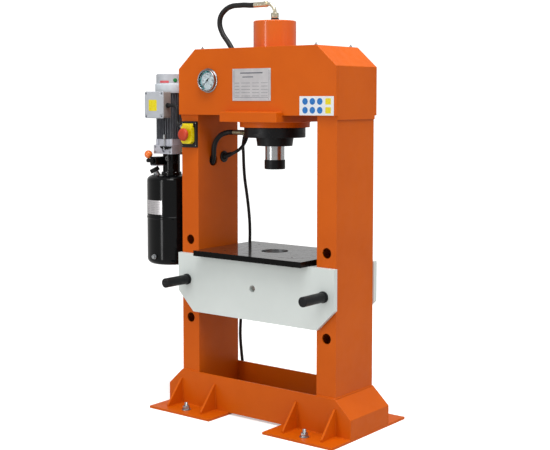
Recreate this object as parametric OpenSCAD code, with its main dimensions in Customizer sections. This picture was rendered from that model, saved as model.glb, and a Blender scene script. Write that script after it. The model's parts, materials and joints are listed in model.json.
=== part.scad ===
/* [Frame] */
// Width across the outside of the two uprights
frame_w = 800; // [780:5:860]
// Height of the top of the head plates above the floor
frame_h = 1528; // [1500:1:1560]
// Width of one upright seen from the front
upright_w = 92; // [88:1:100]
// Depth of one upright, front to back
upright_d = 260; // [250:1:270]
// Wall of the box-section uprights
upright_wall = 6; // [5:0.5:8]

/* [Head] */
// Height of the lower edge of the head plates
head_low_z = 1255; // [1240:1:1270]
// Thickness of the front and back head plates
head_plate_t = 13; // [10:1:16]
// How far the head plates stand past each upright
head_over = 5; // [4:1:8]
// Width of the chamfer at each top corner
head_chamfer_w = 92; // [80:1:100]
// Height of the chamfer at each top corner
head_chamfer_h = 81; // [70:1:90]

/* [Base] */
// Height of the base plates above the floor
base_h = 157; // [140:1:170]
// Thickness of the front and back base plates
base_plate_t = 8; // [6:1:10]
// How far the base runs past each upright
base_over = 76; // [70:1:90]
// Thickness of the foot plates
foot_t = 10; // [8:1:12]
// How far a foot plate runs out past the base plates
foot_out = 125; // [115:1:140]
// Distance between the two foot plates
foot_gap = 279; // [270:1:300]

/* [Bolster] */
// Height of the middle row of pin holes, which holds the bolster
pin_z = 556; // [550:1:562]
// Distance between the rows of pin holes
pin_pitch = 168; // [160:1:174]
// Diameter of the support pins
pin_d = 40; // [36:1:40]
// Height of one bolster side plate
bolster_h = 247; // [240:1:256]
// Thickness of a bolster side plate
bolster_t = 20; // [16:1:22]
// Width of the table plate
table_w = 558; // [520:1:580]
// Depth of the table plate
table_d = 394; // [380:1:420]
// Thickness of the table plate
table_t = 23; // [20:1:26]
// Diameter of the hole in the middle of the table
table_hole_d = 114; // [100:1:120]

/* [Ram] */
// Outside diameter of the cylinder
barrel_d = 176; // [172:1:178]
// Bore of the cylinder
bore_d = 140; // [136:1:144]
// Height of the top of the cylinder
barrel_top_z = 1639; // [1630:1:1650]
// Diameter of the chromed rod
rod_d = 80; // [74:1:82]
// Length of rod that shows below the gland
rod_shown = 57; // [56:1:60]
// Diameter of the nose piece at the end of the rod
nose_d = 86; // [84:1:90]

/* [Power unit] */
// Diameter of the oil tank
tank_d = 216; // [210:1:220]
// Height of the bottom of the oil tank
tank_low_z = 598; // [590:1:606]
// Height of the top of the oil tank
tank_top_z = 989; // [986:1:992]
// Width and depth of the valve block
block_w = 110; // [106:1:112]
// Diameter of the motor over its fins
motor_d = 130; // [126:1:134]
// Number of cooling fins around the motor
fin_count = 36; // [24:1:40]

/* [Mains lead] */
// Diameter of the mains lead
lead_d = 14; // [12:0.5:14]

/* [Hidden] */
$fn = 64;
half_w = frame_w / 2;
inner_x = half_w - upright_w;
half_d = upright_d / 2;
pin_x = half_w - upright_w / 2 + 1;
pin_hole_d = pin_d + 2;
pin_collar_r = pin_d / 2 + 2.8;

head_half = half_w + head_over;
head_y = half_d + head_plate_t;
head_chamfer_z = frame_h - head_chamfer_h;
head_skin_t = 6;
head_top_half = head_half - head_chamfer_w;

base_half = half_w + base_over;
base_y = half_d + base_plate_t;
base_chamfer_z = 86;
foot_y = base_y + foot_out;
foot_inner = foot_gap / 2;

bolster_half = half_w + 6;
bolster_top_z = 667;
bolster_low_z = bolster_top_z - bolster_h;
bolster_gap = 1;
bolster_in_y = half_d + bolster_gap;
bolster_y = bolster_in_y + bolster_t;
bolster_chamfer = 84;
table_top_z = bolster_top_z + table_t;
tapped_x = 175;
tapped_y = 115;

block_low_z = 1228;
block_top_z = 1268;
block_half = 147;
block_y = 180;
flange_low_z = 1205;
flange_r = 145;
ring_low_z = 1163;
ring_r = 127;
cone_low_z = 1128;
rod_low_z = cone_low_z - rod_shown;
nose_low_z = rod_low_z - 39;
bush_r = 52;
piston_h = 60;
piston_low_z = 1496;
// length of the rod's end that holds the piston, above it
rod_end = 4;
cap_t = 24;
barrel_r = barrel_d / 2;
bore_r = bore_d / 2;
rod_r = rod_d / 2;

unit_x = -547;
unit_y = -40;
tank_r = tank_d / 2;
seam_z = 804;
bead = 1.5;
pump_r = 38;
block1_z = 1082;
block2_z = 1121;
motor_z = 1147;
cover_z = 1347;
cover_top_z = 1430;
terminal_x = unit_x + 54;
block_side_x = unit_x + block_w / 2;
gear_r = 13;
gear_z = 1018;
gear_h = 26;
shaft_r = 7;
rotor_r = 38;

gauge_x = -238;
gauge_z = 1397;
switch_x = -349;
switch_z = 1172;

pin_front_y = -bolster_y - 138;
pin_back_y = bolster_y + 14;

// the model is drawn about the ram axis, then moved to the middle of its own outline
x_low = unit_x - tank_r - bead;
x_high = base_half;
y_low = pin_front_y;
y_high = foot_y;
origin = [-(x_low + x_high) / 2, -(y_low + y_high) / 2, 0];

// hole in the left upright for the hose, and the one for the mains lead
hose_hole = [-inner_x, -33, 1062];
lead_hole = [-inner_x, 36, 1073];
hose_hole_d = 52;
lead_hole_d = 42;

// middle line of the hose from the top of the cylinder to the valve block
top_hose_route = [
    [-106, 0, 1710], [-128, 0, 1710], [-165, 0, 1713], [-210, 0, 1714], [-256, 0, 1703], [-290, 0, 1674],
    [-297, 0, 1636], [-280, 0, 1596], [-250, 0, 1560], [-222, 0, 1520], [-206, 0, 1480],
    [-210, 0, 1435], [-240, 0, 1395], [-290, 0, 1355], [-335, 0, 1315], [-354, 0, 1265],
    [-357, 0, 1215], [-372, 0, 1170], [-402, 0, 1130], [-434, 0, 1109], [-470, 0, 1102]];
// middle line of the hose from the gland ring to the valve block
ring_hose_route = [
    [-222, 0, 1180], [-238, 0, 1180], [-256, -6, 1178], [-274, -19, 1169], [-286, -32, 1152],
    [-292, -41, 1131], [-295, -44, 1109], [-298, -42, 1088], [-304, -37, 1069], [-316, -32, 1050],
    [-338, -31, 1038], [-364, -31, 1035], [-390, -31, 1041], [-412, -31, 1057],
    [-430, -31, 1076], [-449, -31, 1091], [-470, -31, 1096]];
// thickness of the cable from the motor's terminal box to the switch, and its middle line
cable_d = 13;
cable_route = [
    [-471, -120, 1294], [-458, -121, 1294], [-445, -122, 1290], [-435, -124, 1281],
    [-430, -126, 1267], [-428, -128, 1250], [-427, -130, 1235], [-423, -133, 1221],
    [-414, -136, 1210], [-401, -136, 1205]];
// middle line of the mains lead from its gland to the coil
lead_route = [
    [-274, 53, 1086], [-261, 59, 1093], [-248, 70, 1104], [-238, 84, 1123],
    [-236, 97, 1140], [-240, 113, 1160], [-253, 130, 1175], [-273, 147, 1180],
    [-293, 163, 1172], [-310, 177, 1150], [-323, 185, 1117], [-329, 195, 1080],
    [-330, 199, 1025], [-327, 202, 965], [-318, 205, 900], [-310, 208, 830],
    [-305, 210, 760], [-305, 210, 690], [-312, 210, 610], [-325, 210, 520],
    [-342, 208, 430], [-355, 207, 340], [-358, 205, 260], [-350, 202, 190],
    [-344, 203, 135], [-345, 209, 106], [-343, 218, 78], [-335, 229, 53],
    [-320, 239, 34], [-300, 246, 22], [-276, 249, 17], [-246, 250, 17],
    [-214, 250, 17], [-180, 256, 17], [-150, 271, 17], [-119, 295, 10],
    [-88, 318, 7], [-55, 329, 7]];
// middle line of the short end from the coil to the plug
tail_route = [
    [-40, 330, 21], [-8, 328, 18], [24, 321, 15], [52, 308, 14], [74, 289, 17],
    [87, 265, 21], [90, 241, 23]];
coil_x = -40;
coil_y = 246;
coil_r = 77;
plug_x = 90;
plug_y = 241;
plug_r = 23;

// colours
orange = [0.80, 0.37, 0.12];
pale_grey = [0.78, 0.81, 0.79];
black = [0.06, 0.06, 0.07];
dark_grey = [0.25, 0.26, 0.28];
silver = [0.72, 0.73, 0.74];
brassy = [0.74, 0.68, 0.48];

// ---- helpers ----

// moves a piece from the ram axis to the part's origin
module placed(c) {
    color(c)
        translate(origin)
            children();
}

// a box given by its lowest and highest corners
module box(low, high) {
    translate(low)
        cube(high - low);
}

// a bar or ring along Z between two heights
module ring_z(r, z_low, z_high, hole_r = 0) {
    difference() {
        translate([0, 0, z_low])
            cylinder(r = r, h = z_high - z_low);
        if (hole_r > 0)
            translate([0, 0, z_low - 1])
                cylinder(r = hole_r, h = z_high - z_low + 2);
    }
}

// a round bar along Y, from y_low to y_high
module bar_y(r, y_low, y_high, x = 0, z = 0) {
    translate([x, y_high, z])
        rotate([90, 0, 0])
            cylinder(r = r, h = y_high - y_low);
}

// a round bar along X, from x_low to x_high
module bar_x(r, x_low, x_high, y = 0, z = 0) {
    translate([x_low, y, z])
        rotate([0, 90, 0])
            cylinder(r = r, h = x_high - x_low);
}

// a plate standing in the XZ plane between two depths
module plate_y(y_low, y_high) {
    translate([0, y_high, 0])
        rotate([90, 0, 0])
            linear_extrude(y_high - y_low)
                children();
}

function unit(v) = v / norm(v);
function at(p, i) = p[max(0, min(len(p) - 1, i))];
function curve(a, b, c, d, t) =
    0.5 * (2 * b + (c - a) * t + (2 * a - 5 * b + 4 * c - d) * t * t
        + (3 * b - a - 3 * c + d) * t * t * t);
// points on a smooth curve through p, with n steps between neighbours
function smooth(p, n) = [
    for (i = [0 : len(p) - 2])
        for (k = [0 : n - 1])
            curve(at(p, i - 1), p[i], p[i + 1], at(p, i + 2), k / n),
    p[len(p) - 1]];
function heading(p, i) = unit(at(p, i + 1) - at(p, i - 1));
// one sideways direction for each point, turned as little as the path allows
function sideways(p, i = 0, last = [0, 1, 0], out = []) =
    i == len(p) ? out :
    let (t = heading(p, i), s = unit(last - t * (last * t)))
    sideways(p, i + 1, s, concat(out, [s]));

// a round tube swept along a smooth curve through the points
module swept_tube(route, d, sides, steps) {
    path = smooth(route, steps);
    side = sideways(path);
    rings = len(path);
    points = [
        for (i = [0 : rings - 1])
            for (k = [0 : sides - 1])
                let (a = 360 * k / sides)
                path[i] + d / 2 * (cos(a) * side[i] + sin(a) * cross(heading(path, i), side[i]))];
    walls = [
        for (i = [0 : rings - 2])
            for (k = [0 : sides - 1])
                let (n = (k + 1) % sides, a = i * sides, b = (i + 1) * sides)
                each [[a + k, b + k, b + n], [a + k, b + n, a + n]]];
    first_cap = [for (k = [0 : sides - 1]) k];
    last_cap = [for (k = [sides - 1 : -1 : 0]) (rings - 1) * sides + k];
    polyhedron(points, concat(walls, [first_cap], [last_cap]), convexity = 10);
}

// ---- uprights ----

module pin_holes(x, d) {
    for (row = [-1 : 1])
        bar_y(d / 2, -half_d - 1, half_d + 1, x, pin_z + row * pin_pitch);
}

module upright(side) {
    difference() {
        box([min(side * inner_x, side * half_w), -half_d, foot_t],
            [max(side * inner_x, side * half_w), half_d, frame_h - head_skin_t]);
        box([min(side * inner_x, side * half_w) + upright_wall, -half_d + upright_wall, foot_t - 1],
            [max(side * inner_x, side * half_w) - upright_wall, half_d - upright_wall, frame_h]);
        pin_holes(side * pin_x, pin_hole_d);
        // the head plates sit outside the upright, and its outer corner follows their chamfer
        translate([side * (half_w + head_over), 0, head_chamfer_z])
            rotate([0, side * -atan(head_chamfer_w / head_chamfer_h), 0])
                box([min(0, side * 80) - side * head_skin_t, -half_d - 1, -60],
                    [max(0, side * 80) - side * head_skin_t, half_d + 1, 180]);
    }
}

module upright_left() {
    placed(orange)
        difference() {
            upright(-1);
            // inner wall: hose and mains lead
            bar_x(hose_hole_d / 2, -inner_x - upright_wall - 1, -inner_x + 1, hose_hole.y, hose_hole.z);
            bar_x(lead_hole_d / 2, -inner_x - upright_wall - 1, -inner_x + 1, lead_hole.y, lead_hole.z);
            bar_x(hose_hole_d / 2, -inner_x - upright_wall - 1, -inner_x + 1, 0, 1344);
            // outer wall: the two hoses go on to the valve block
            bar_x(hose_hole_d / 2, -half_w - 1, -half_w + upright_wall + 1, 0, 1134);
            bar_x(hose_hole_d / 2, -half_w - 1, -half_w + upright_wall + 1, hose_hole.y, 1048);
        }
}

module upright_right() {
    placed(orange)
        upright(1);
}

// ---- head ----

module head_outline() {
    polygon([
        [-head_half, head_low_z], [head_half, head_low_z], [head_half, head_chamfer_z],
        [head_top_half, frame_h], [-head_top_half, frame_h], [-head_half, head_chamfer_z]]);
}

module block_notch() {
    translate([-block_half, head_low_z - 1])
        square([2 * block_half, block_top_z - head_low_z + 1]);
}

module head_front_plate() {
    placed(orange)
        difference() {
            plate_y(-head_y, -half_d)
                difference() {
                    head_outline();
                    block_notch();
                }
            bar_y(22, -head_y - 1, -half_d + 1, gauge_x, gauge_z);
        }
}

module head_back_plate() {
    placed(orange)
        plate_y(half_d, head_y)
            difference() {
                head_outline();
                block_notch();
            }
}

module head_top_plate() {
    placed(orange)
        difference() {
            box([-head_top_half, -half_d, frame_h - head_skin_t], [head_top_half, half_d, frame_h]);
            ring_z(barrel_r + 1, frame_h - 20, frame_h + 1);
            // the hose passes here at a slant
            translate([-224, 0, frame_h - 20])
                cylinder(r = 24, h = 30);
        }
}

// the outline of one bent side plate, on the right-hand side
module head_side_outline() {
    polygon([
        [half_w, head_low_z - 15], [head_half, head_low_z - 15], [head_half, head_chamfer_z],
        [head_top_half, frame_h], [head_top_half, frame_h - head_skin_t],
        [half_w, head_chamfer_z - 2]]);
}

module head_side_plates() {
    placed(orange)
        for (side = [0, 1])
            mirror([side, 0, 0])
                plate_y(-half_d, half_d)
                    head_side_outline();
}

module mount_block() {
    placed(orange)
        difference() {
            box([-block_half, -block_y, block_low_z], [block_half, block_y, block_top_z]);
            ring_z(barrel_r + 0.5, block_low_z - 1, block_top_z + 1);
        }
}

// ---- base ----

module base_outline() {
    polygon([
        [-base_half, foot_t], [base_half, foot_t], [base_half, base_chamfer_z],
        [half_w, base_h], [-half_w, base_h], [-base_half, base_chamfer_z]]);
}

module base_front_plate() {
    placed(orange)
        plate_y(-base_y, -half_d)
            base_outline();
}

module base_back_plate() {
    placed(orange)
        plate_y(half_d, base_y)
            base_outline();
}

module base_end_outline() {
    polygon([
        [base_half - 8, foot_t], [base_half, foot_t], [base_half, base_chamfer_z],
        [half_w, base_h], [half_w, base_h - 12], [base_half - 8, base_chamfer_z - 5]]);
}

module base_end_plates() {
    placed(orange)
        for (side = [0, 1])
            mirror([side, 0, 0])
                plate_y(-half_d, half_d)
                    base_end_outline();
}

anchor_x = 310;
anchor_y = 212;

module foot_plates() {
    placed(orange)
        for (side = [0, 1])
            mirror([side, 0, 0])
                difference() {
                    box([foot_inner, -foot_y, 0], [base_half, foot_y, foot_t]);
                    for (end = [-1, 1])
                        translate([anchor_x, end * anchor_y, -1])
                            cylinder(r = 11, h = foot_t + 2);
                }
}

gusset_x = [215, 402];
gusset_t = 9;
gusset_top_z = 118;

module gusset(x) {
    translate([x - gusset_t / 2, 0, 0])
        rotate([90, 0, 90])
            linear_extrude(gusset_t)
                polygon([
                    [base_y, foot_t], [base_y + 90, foot_t], [base_y + 90, foot_t + 10],
                    [base_y + 6, gusset_top_z], [base_y, gusset_top_z]]);
}

module gussets() {
    placed(orange)
        for (side = [0, 1])
            for (end = [0, 1])
                mirror([side, 0, 0])
                    mirror([0, end, 0])
                        for (x = gusset_x)
                            gusset(x);
}

module anchor_bolt() {
    // stud, washer and nut
    ring_z(10, 1, foot_t + 32);
    ring_z(20, foot_t, foot_t + 3, 10.5);
    difference() {
        ring_z(17.3, foot_t + 3, foot_t + 19, 0, $fn = 6);
        ring_z(10.2, foot_t + 2, foot_t + 20);
    }
}

module anchor_bolts() {
    placed(silver)
        for (side = [-1, 1])
            for (end = [-1, 1])
                translate([side * anchor_x, end * anchor_y, 0])
                    anchor_bolt();
}

// ---- bolster and table ----

module bolster_outline() {
    difference() {
        polygon([
            [-bolster_half, bolster_top_z], [-bolster_half, bolster_low_z + bolster_chamfer],
            [-bolster_half + bolster_chamfer, bolster_low_z],
            [bolster_half - bolster_chamfer, bolster_low_z],
            [bolster_half, bolster_low_z + bolster_chamfer], [bolster_half, bolster_top_z]]);
        for (side = [-1, 1])
            translate([side * pin_x, pin_z])
                circle(r = pin_d / 2 + 0.5);
        translate([0, pin_z - 5])
            circle(r = 14.5);
    }
}

module bolster_front_plate() {
    placed(pale_grey)
        plate_y(-bolster_y, -bolster_in_y)
            bolster_outline();
}

module bolster_back_plate() {
    placed(pale_grey)
        plate_y(bolster_in_y, bolster_y)
            bolster_outline();
}

rib_x = [-297, -150, 134, 281];
rib_t = 16;

module bolster_ribs() {
    placed(pale_grey)
        for (x = rib_x)
            box([x, -bolster_in_y, bolster_low_z + 20], [x + rib_t, bolster_in_y, bolster_top_z]);
}

module table_plate() {
    placed(black)
        difference() {
            box([-table_w / 2, -table_d / 2, bolster_top_z], [table_w / 2, table_d / 2, table_top_z]);
            ring_z(table_hole_d / 2, bolster_top_z - 1, table_top_z + 1);
            for (sx = [-1, 1])
                for (sy = [-1, 1])
                    translate([sx * tapped_x, sy * tapped_y, bolster_top_z - 1])
                        cylinder(r = 5.1, h = table_t + 2);
        }
}

module pin_at(x) {
    translate([x, 0, pin_z])
        rotate([-90, 0, 0])
            rotate_extrude()
                polygon([
                    [0, pin_front_y], [pin_d / 2 - 2, pin_front_y], [pin_d / 2, pin_front_y + 2],
                    [pin_d / 2, -bolster_y - 8.3], [pin_collar_r, -bolster_y - 8.3],
                    [pin_collar_r, -bolster_y - 0.3], [pin_d / 2, -bolster_y - 0.3],
                    [pin_d / 2, pin_back_y - 4], [pin_d / 2 - 4, pin_back_y], [0, pin_back_y]]);
}

module pin_left() {
    placed(black)
        pin_at(-pin_x);
}

module pin_right() {
    placed(black)
        pin_at(pin_x);
}

// ---- cylinder and ram ----

port_r = 8;

module cylinder_barrel() {
    placed(orange)
        rotate_extrude()
            polygon([
                [bore_r, flange_low_z], [barrel_r, flange_low_z], [barrel_r, barrel_top_z - 3],
                [barrel_r - 3, barrel_top_z], [port_r, barrel_top_z],
                [port_r, barrel_top_z - cap_t], [bore_r, barrel_top_z - cap_t]]);
}

bolt_circle_r = 108;
bolt_count = 8;

module around_ring(r, count, start = 0) {
    for (i = [0 : count - 1])
        rotate([0, 0, start + 360 * i / count])
            translate([r, 0, 0])
                children();
}

module cylinder_flange() {
    placed(orange)
        difference() {
            ring_z(flange_r, flange_low_z, block_low_z, barrel_r);
            around_ring(bolt_circle_r, bolt_count, 22.5)
                translate([0, 0, flange_low_z - 1])
                    cylinder(r = 6, h = 30);
        }
}

module gland_ring() {
    placed(black)
        difference() {
            rotate_extrude()
                polygon([
                    [bush_r, cone_low_z + 10], [bush_r, ring_low_z + 30], [bore_r, ring_low_z + 30],
                    [bore_r, flange_low_z], [ring_r - 2, flange_low_z], [ring_r, flange_low_z - 2],
                    [ring_r, ring_low_z + 2], [ring_r - 2, ring_low_z], [78, ring_low_z],
                    [73, cone_low_z], [rod_r + 1.5, cone_low_z], [rod_r + 1.5, cone_low_z + 10]]);
            around_ring(bolt_circle_r, bolt_count, 22.5) {
                translate([0, 0, ring_low_z - 1])
                    cylinder(r = 6, h = 60);
                translate([0, 0, ring_low_z - 1])
                    cylinder(r = 10, h = 14);
            }
            // the return port
            bar_x(port_r, -ring_r - 1, -bore_r + 4, 0, 1181);
        }
}

module gland_bolts() {
    placed(dark_grey)
        around_ring(bolt_circle_r, bolt_count, 22.5) {
            ring_z(5.8, ring_low_z + 12, block_low_z - 2);
            difference() {
                ring_z(9, ring_low_z + 1, ring_low_z + 12.9);
                ring_z(5.8, ring_low_z, ring_low_z + 7, $fn = 6);
            }
        }
}

// bronze guide bush, rod seal and wiper around the rod
module rod_seals() {
    placed(brassy) {
        ring_z(bush_r - 0.3, cone_low_z + 40, ring_low_z + 30, rod_r + 0.05);
        ring_z(bush_r - 0.3, cone_low_z + 24, cone_low_z + 38, rod_r + 0.05);
        ring_z(bush_r - 0.3, cone_low_z + 11, cone_low_z + 22, rod_r + 0.05);
    }
}

module piston_rod() {
    placed(silver)
        rotate_extrude()
            polygon([
                [0, rod_low_z], [rod_r, rod_low_z], [rod_r, piston_low_z],
                [30, piston_low_z], [30, piston_low_z + piston_h + rod_end],
                [0, piston_low_z + piston_h + rod_end]]);
}

module piston() {
    placed(dark_grey)
        rotate_extrude()
            polygon([
                [30.05, piston_low_z], [bore_r - 0.5, piston_low_z], [bore_r - 0.05, piston_low_z + 4],
                [bore_r - 0.05, piston_low_z + 22], [bore_r - 2, piston_low_z + 22],
                [bore_r - 2, piston_low_z + 28], [bore_r - 0.05, piston_low_z + 28],
                [bore_r - 0.05, piston_low_z + piston_h - 4], [bore_r - 0.5, piston_low_z + piston_h],
                [30.05, piston_low_z + piston_h]]);
}

module ram_nose() {
    placed(black)
        rotate_extrude()
            polygon([
                [0, nose_low_z], [nose_d / 2 - 2, nose_low_z], [nose_d / 2, nose_low_z + 2],
                [nose_d / 2, rod_low_z - 2], [nose_d / 2 - 2, rod_low_z], [0, rod_low_z]]);
}

// ---- hoses ----

hose_d = 20;
ferrule_r = 11.5;

module top_fitting() {
    placed(brassy) {
        // adapter screwed into the cap
        ring_z(port_r - 0.2, barrel_top_z - 16, barrel_top_z);
        ring_z(15, barrel_top_z, barrel_top_z + 12, $fn = 6);
        ring_z(14, barrel_top_z + 12, barrel_top_z + 34, $fn = 6);
        // bent pipe
        translate([-36, 0, barrel_top_z + 35])
            rotate([90, 0, 0])
                rotate_extrude(angle = 90)
                    translate([36, 0])
                        circle(r = 7);
        // hose ferrule
        bar_x(9, -52, -36, 0, 1710);
        bar_x(ferrule_r, -106, -52, 0, 1710);
        // ferrule at the valve block
        bar_x(ferrule_r, block_side_x, -470, 0, 1102);
    }
}

module top_hose() {
    placed(black)
        swept_tube(top_hose_route, hose_d, 10, 3);
}

module ring_fitting() {
    placed(brassy) {
        bar_x(port_r - 0.2, -ring_r, -bore_r - 20, 0, 1181);
        translate([-ring_r - 18, 0, 1181])
            rotate([0, 90, 0])
                cylinder(r = 13, h = 18, $fn = 6);
        bar_x(9, -166, -ring_r - 18, 0, 1180);
        bar_x(ferrule_r, -222, -166, 0, 1180);
        // ferrule at the valve block
        bar_x(ferrule_r, block_side_x, -470, -31, 1096);
    }
}

module ring_hose() {
    placed(black)
        swept_tube(ring_hose_route, hose_d, 10, 3);
}

// ---- gauge and plates on the head ----

module gauge_case() {
    placed(silver)
        translate([gauge_x, -head_y, gauge_z])
            rotate([90, 0, 0])
                rotate_extrude()
                    polygon([
                        [0, -34], [20, -34], [20, 0], [52, 0], [52, 2], [46, 3], [46, 16],
                        [44, 18], [40, 18], [40, 4], [0, 4]]);
}

module gauge_dial() {
    placed([0.93, 0.94, 0.92])
        translate([gauge_x, -head_y, gauge_z])
            rotate([90, 0, 0])
                ring_z(39.7, 4, 5.5, 3);
}

module gauge_needle() {
    placed(black)
        translate([gauge_x, -head_y, gauge_z])
            rotate([90, 0, 0]) {
                ring_z(2.5, 4.3, 10);
                ring_z(4, 8, 10);
                rotate([0, 0, 225])
                    translate([0, 0, 8.2])
                        linear_extrude(1)
                            polygon([[-12, -1.6], [0, -1.6], [33, -0.5], [33, 0.5], [0, 1.6], [-12, 1.6]]);
            }
}

module name_plate() {
    placed(silver)
        box([-107, -head_y - 1.5, 1313], [91, -head_y, 1443]);
}

module sign_plate() {
    placed([0.92, 0.93, 0.93])
        box([233, -head_y - 1.2, 1257], [395, -head_y, 1331]);
}

// ---- switch on the left upright ----

switch_w = 80;
switch_h = 110;
switch_t = 12;
flap_half = 30;
flap_high = 39;
flap_wall = 4;
hinge_y = -16.5;
hinge_z = 42;
start_z = -22;

module at_switch() {
    translate([switch_x, -half_d, switch_z])
        children();
}

// black base with the two lugs and the pin that the flap hangs on
module switch_base() {
    placed(black)
        at_switch() {
            difference() {
                box([-switch_w / 2, -switch_t, -switch_h / 2], [switch_w / 2, 0, switch_h / 2]);
                bar_y(9, -switch_t - 1, -2, 0, start_z);
            }
            for (side = [0, 1])
                mirror([side, 0, 0])
                    box([flap_half + 0.4, hinge_y - 4, hinge_z - 4], [flap_half + 4, -switch_t, hinge_z + 4]);
            bar_x(1.5, -flap_half - 1, flap_half + 1, hinge_y, hinge_z);
        }
}

// the flap seen from the front, with its corners cut off
module flap_outline(inset = 0) {
    w = flap_half - inset;
    h = flap_high - inset;
    cut = 10 - 0.6 * inset;
    polygon([
        [-w, cut - h], [cut - w, -h], [w - cut, -h], [w, cut - h],
        [w, h - cut], [w - cut, h], [cut - w, h], [-w, h - cut]]);
}

// yellow flap that carries the red mushroom button
module switch_cover() {
    placed([0.93, 0.83, 0.05])
        at_switch()
            difference() {
                union() {
                    plate_y(-30, -switch_t - 0.4)
                        flap_outline();
                    bar_x(4, -flap_half, flap_half, hinge_y, hinge_z);
                    box([-flap_half, hinge_y - 4, flap_high - flap_wall], [flap_half, hinge_y - 1, hinge_z]);
                }
                plate_y(-26, -switch_t + 1)
                    flap_outline(flap_wall);
                bar_y(12, -31, -25, 0, 0);
                bar_x(1.55, -flap_half - 1, flap_half + 1, hinge_y, hinge_z);
            }
}

module stop_button() {
    placed([0.80, 0.16, 0.13])
        at_switch()
            rotate([90, 0, 0])
                rotate_extrude()
                    polygon([
                        [0, 21], [14, 21], [14, 25.5], [11.6, 25.5], [11.6, 43], [24, 43], [26.5, 45.5],
                        [26.5, 51], [23, 55.5], [15, 58.5], [0, 59.5]]);
}

module start_button() {
    placed([0.10, 0.50, 0.20])
        at_switch()
            translate([0, 0, start_z])
                rotate([90, 0, 0])
                    ring_z(8.7, 7, 15);
}

// ---- power unit ----

module on_unit() {
    translate([unit_x, unit_y, 0])
        children();
}

module oil_tank() {
    placed(black)
        on_unit()
            difference() {
                union() {
                    rotate_extrude()
                        polygon(concat(
                            [[pump_r + 1, tank_top_z], [tank_r - 34, tank_top_z]],
                            [for (a = [75 : -15 : 0])
                                [tank_r - 34 + 34 * cos(a), tank_top_z - 24 + 24 * sin(a)]],
                            [[tank_r, seam_z + 6], [tank_r + bead, seam_z + 3], [tank_r + bead, seam_z - 3],
                                [tank_r, seam_z - 6]],
                            [for (a = [0 : -15 : -75])
                                [tank_r - 24 + 24 * cos(a), tank_low_z + 24 + 24 * sin(a)]],
                            [[tank_r - 24, tank_low_z], [0, tank_low_z], [0, tank_low_z + 3],
                                [tank_r - 24, tank_low_z + 3], [tank_r - 3, tank_low_z + 26],
                                [tank_r - 3, tank_top_z - 26], [tank_r - 34, tank_top_z - 3],
                                [pump_r + 1, tank_top_z - 3]]));
                    translate([0, -tank_r + 6, 635])
                        rotate([90, 0, 0])
                            ring_z(12, 0, 8);
                }
                translate([0, -tank_r + 40, 635])
                    rotate([90, 0, 0])
                        ring_z(6, 0, 60);
                translate([-50, -38, tank_top_z - 20])
                    cylinder(r = 18, h = 30);
            }
}

neck_tilt = 28;
neck_turn = 218;
neck_at = [-50, -38, tank_top_z - 1];

// moves to the tilted filler neck, with Z along it
module on_neck() {
    translate(neck_at)
        rotate([0, 0, neck_turn])
            rotate([0, neck_tilt, 0])
                children();
}

module tank_fittings() {
    placed(silver)
        on_unit() {
            // drain plug
            translate([0, -tank_r - 2, 635])
                rotate([90, 0, 0]) {
                    ring_z(11, 0, 4);
                    translate([0, 0, 4])
                        cylinder(r = 9, h = 8, $fn = 6);
                    ring_z(5.6, -20, 0.5);
                }
            // filler neck
            on_neck()
                ring_z(13, -8, 15, 9);
        }
}

module filler_cap() {
    placed(black)
        on_unit()
            on_neck()
                difference() {
                    union() {
                        ring_z(20, 15.4, 34);
                        ring_z(8.5, 4, 16);
                        for (a = [0 : 20 : 340])
                            rotate([0, 0, a])
                                box([18, -1.6, 16], [21, 1.6, 32]);
                    }
                    ring_z(17, 30, 35, 12);
                }
}

bracket_y = unit_y + block_w / 2;

// angle bracket: one leg bolted to the upright, the other to the back of the valve block
module unit_bracket() {
    placed(black) {
        box([unit_x - 50, bracket_y, 1075], [-half_w, bracket_y + 8, 1119]);
        box([-half_w - 8, bracket_y + 8, 1060], [-half_w, bracket_y + 70, 1134]);
        for (z = [1072, 1122])
            bar_x(9, -half_w - 14, -half_w - 8, bracket_y + 48, z, $fn = 6);
        for (x = [unit_x - 35, unit_x + 35])
            bar_y(8, bracket_y + 8, bracket_y + 14, x, 1098, $fn = 6);
    }
}

module valve_block() {
    placed(silver)
        on_unit()
            difference() {
                box([-block_w / 2, -block_w / 2, block1_z], [block_w / 2, block_w / 2, block2_z]);
                ring_z(shaft_r + 1, block1_z - 1, block2_z + 1);
                translate([8, -block_w / 2 + 9, block1_z + 18])
                    rotate([90, 0, 0])
                        cylinder(r = 13, h = 10);
                // hose ports
                bar_x(8, block_w / 2 - 18, block_w / 2 + 1, -unit_y, 1102);
                bar_x(8, block_w / 2 - 18, block_w / 2 + 1, -31 - unit_y, 1096);
            }
}

module pump_body() {
    placed(black)
        on_unit()
            difference() {
                union() {
                    ring_z(pump_r, tank_top_z - 60, block1_z);
                    ring_z(44, tank_top_z, tank_top_z + 10);
                    // seat for the hand valve
                    box([-30, -pump_r, 1034], [-8, -20, 1070]);
                }
                // room for the two gears and for their shafts
                translate([0, 0, gear_z - 0.2]) {
                    cylinder(r = gear_r + 0.4, h = gear_h + 0.4);
                    translate([0, gear_mid, 0])
                        cylinder(r = gear_r + 0.4, h = gear_h + 0.4);
                }
                ring_z(shaft_r + 0.05, tank_top_z - 20, block1_z + 1);
                translate([0, gear_mid, 0])
                    ring_z(5.05, gear_z - 12, gear_z + gear_h + 12);
            }
}

spindle_y = -76;
spindle_z = 1052;
ball_up = 27;

// hand valve on the front of the pump body
module lever_valve() {
    placed(black)
        on_unit() {
            box([-44, -90, 1034], [-8, -pump_r, 1070]);
            bar_x(9.5, -56, -44, spindle_y, spindle_z);
        }
}

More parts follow.
